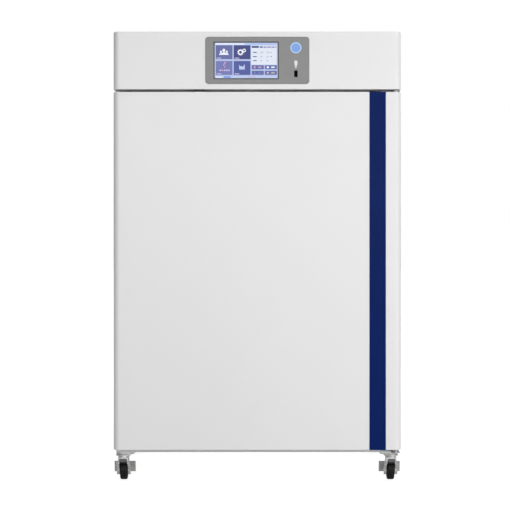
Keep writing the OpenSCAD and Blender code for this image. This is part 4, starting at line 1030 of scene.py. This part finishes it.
class INCUBATOR_OT_rear_services(bpy.types.Operator):
    """Mains inlet, gas inlet, bumpers and access port on the back."""

    bl_idname = "incubator.rear_services"
    bl_label = "Rear services"

    def execute(self, context):
        coat_node("moulded_black", "mains_inlet", "mains_rocker")
        coat_node("silicone_white", "access_port_tube", "port_stopper")
        coat_node("brass_fitting", "gas_inlet")
        coat_node("rubber_black", "rear_bumpers")
        self.rocker_marks()
        return {"FINISHED"}

    def rocker_marks(self):
        """White bar and ring, one on each flat of the mains rocker. The flats rise from the notch by
        the dip, and the rocker as a whole is tilted: a mark is made level at the origin, turned by
        tilt - dip or tilt + dip about X, and moved to the middle of its flat, which lies out from the
        rocker's pin and up or down from it."""
        a, b = span("mains_rocker")
        tilt, dip = math.radians(11), math.atan2(1.5, 9.4)
        pin = np.array([(a[0] + b[0]) / 2, b[1] - 6.21 * MM, a[2] + 8.37 * MM])
        out, flat_middle, half = 3.75 * MM, 4.7 * MM, 0.1 * MM
        stroke = round_loop(0.7 * MM, 4.4 * MM, 0.3 * MM, 4)
        bar = flat_plate("rocker_bar", stroke, -half, half, (0, 0, 0))
        inner, outer = 1.6 * MM, 2.25 * MM
        rim = [(inner, -half), (outer, -half), (outer, half), (inner, half), (inner, -half)]
        ring = revolved("rocker_ring", rim, (0, 0, 0), "y", 32)
        for mark, side in ((bar, 1), (ring, -1)):
            up = side * flat_middle
            place = pin + (0, out * math.cos(tilt) - up * math.sin(tilt),
                           out * math.sin(tilt) + up * math.cos(tilt))
            turn = Matrix.Rotation(tilt - side * dip, 4, "X")
            mark.data.transform(Matrix.Translation(place) @ turn)
            dress(mark, "mark_white", "mains_rocker", "moulded_black")


class INCUBATOR_OT_stage(bpy.types.Operator):
    """Pale floor, soft studio light and the camera."""

    bl_idname = "incubator.stage"
    bl_label = "Stage"

    def execute(self, context):
        stage = context.scene.incubator_stage
        self.floor()
        self.world(context)
        front = cad_box[0][1]
        self.soft_box("key_light", (2.2, front - 2.3, 0.86), (0, 0, 0.36), (2.0, 1.9), stage.key_power)
        self.soft_box("fill_light", (0.0, front - 3.0, 1.0), (0, 0, 0.22), (2.4, 1.0), stage.fill_power)
        self.soft_box("top_light", (0.2, 0.3, 3.2), (0, 0, 0.5), (2.5, 2.5), 22.0)
        self.soft_box("back_light", (1.2, 3.4, 1.8), (0, 0, 0.6), (2.0, 2.2), 30.0)
        self.camera(context, stage, front)
        context.scene.view_settings.view_transform = "Standard"
        return {"FINISHED"}

    def floor(self):
        """A wide disc that glows faintly, more so farther out, so that no horizon shows."""
        t = np.linspace(0, 2 * PI, 64, endpoint=False)
        radii = np.array([0.0, 1.5, 4.0, 12.0, 60.0])
        x, y = radii[:, None] * np.cos(t)[None, :], radii[:, None] * np.sin(t)[None, :]
        points = np.stack([x, y, np.zeros_like(x)], -1).reshape(-1, 3)
        floor = make_object("floor", points, grid_quads(len(radii), len(t), wrap_columns=True))
        merge_doubles(floor)
        paper = surface("floor_paper", (0.3, 0.3, 0.3), 0.8, extra={"Emission Color": (1, 1, 1, 1)})
        tree = paper.node_tree
        reach = add_node(tree, "VectorMath", {0: add_node(tree, "TexCoord").outputs["Object"]})
        reach.operation = "LENGTH"
        far = ranged(tree, reach.outputs["Value"], (0.6, 3.5), (0.88, 1.0))
        camera_ray = add_node(tree, "LightPath").outputs["Is Camera Ray"]
        share = ranged(tree, camera_ray, (0.0, 1.0), (0.4, 1.0))
        glow = add_node(tree, "Math", {0: far, 1: share})
        glow.operation = "MULTIPLY"
        shader = tree.nodes["Principled BSDF"]
        fill_sockets(tree, shader, {"Emission Strength": glow.outputs["Value"]})
        floor.data.materials.append(paper)

    def world(self, context):
        """White to the camera, and as a light soft grey that is darker from the left."""
        world = bpy.data.worlds.new("studio")
        context.scene.world = world
        world.use_nodes = True
        tree = world.node_tree
        tree.nodes.clear()
        place = add_node(tree, "TexCoord").outputs["Generated"]
        across = add_node(tree, "SeparateXYZ", {"Vector": place}).outputs["X"]
        side = ranged(tree, across, (-0.95, -0.25), (0.04, 0.46))
        glow = add_node(tree, "Background", {"Color": (0.79, 0.8, 0.82, 1), "Strength": side})
        seen = add_node(tree, "Background", {"Color": (1, 1, 1, 1), "Strength": 1.0})
        camera_ray = add_node(tree, "LightPath").outputs["Is Camera Ray"]
        mix = add_node(tree, "MixShader", {"Fac": camera_ray, 1: glow.outputs["Background"],
                                           2: seen.outputs["Background"]})
        add_node(tree, "OutputWorld", {"Surface": mix.outputs["Shader"]})

    def soft_box(self, name, place, target, size, power):
        """A rectangular light aimed at a point."""
        light = bpy.data.lights.new(name, "AREA")
        light.shape, light.size, light.size_y, light.energy = "RECTANGLE", size[0], size[1], power
        aim_new(name, light, place, target)

    def camera(self, context, stage, front):
        """A level camera in front of the door, as the photograph was taken."""
        data = bpy.data.cameras.new("camera")
        data.sensor_width = 36.0
        data.lens = data.sensor_width * stage.distance / stage.view_width
        data.clip_end = 200
        place = (stage.side_step, front - stage.distance, stage.eye_height)
        context.scene.camera = aim_new("camera", data, place, (stage.side_step, 0, stage.eye_height))


def aim_new(name, data, place, target):
    """A lamp or camera at a place, with its -Z axis turned to the target."""
    holder = bpy.data.objects.new(name, data)
    bpy.context.scene.collection.objects.link(holder)
    holder.location = place
    direction = Vector(target) - Vector(place)
    holder.rotation_euler = direction.to_track_quat("-Z", "Y").to_euler()
    return holder


class INCUBATOR_PT_panel(bpy.types.Panel):
    """Lists the steps that dress the incubator."""

    bl_idname = "INCUBATOR_PT_panel"
    bl_label = "Incubator"
    bl_space_type = "VIEW_3D"
    bl_region_type = "UI"
    bl_category = "Incubator"

    def draw(self, context):
        for group in ("incubator_cabinet", "incubator_control", "incubator_stage"):
            settings = getattr(context.scene, group)
            for name in settings.__annotations__:
                self.layout.prop(settings, name)
        for step in STEPS:
            self.layout.operator(step.bl_idname)


STEPS = (INCUBATOR_OT_stage, INCUBATOR_OT_casing, INCUBATOR_OT_outer_door, INCUBATOR_OT_control_panel,
         INCUBATOR_OT_glass_door, INCUBATOR_OT_chamber, INCUBATOR_OT_casters,
         INCUBATOR_OT_rear_services)
GROUPS = {"incubator_cabinet": CabinetSettings, "incubator_control": ControlSettings,
          "incubator_stage": StageSettings}


def register():
    """Registers the settings, the steps and the panel."""
    for name, group in GROUPS.items():
        bpy.utils.register_class(group)
        setattr(bpy.types.Scene, name, PointerProperty(type=group))
    for step in STEPS + (INCUBATOR_PT_panel,):
        bpy.utils.register_class(step)


def unregister():
    """Takes them away again."""
    for step in (INCUBATOR_PT_panel,) + STEPS[::-1]:
        bpy.utils.unregister_class(step)
    for name, group in GROUPS.items():
        delattr(bpy.types.Scene, name)
        bpy.utils.unregister_class(group)


def main():
    """Dresses the model."""
    register()
    bpy.ops.incubator.stage()
    bpy.ops.incubator.casing()
    bpy.ops.incubator.outer_door()
    bpy.ops.incubator.control_panel()
    bpy.ops.incubator.glass_door()
    bpy.ops.incubator.chamber()
    bpy.ops.incubator.casters()
    bpy.ops.incubator.rear_services()


if __name__ == "__main__":
    main()
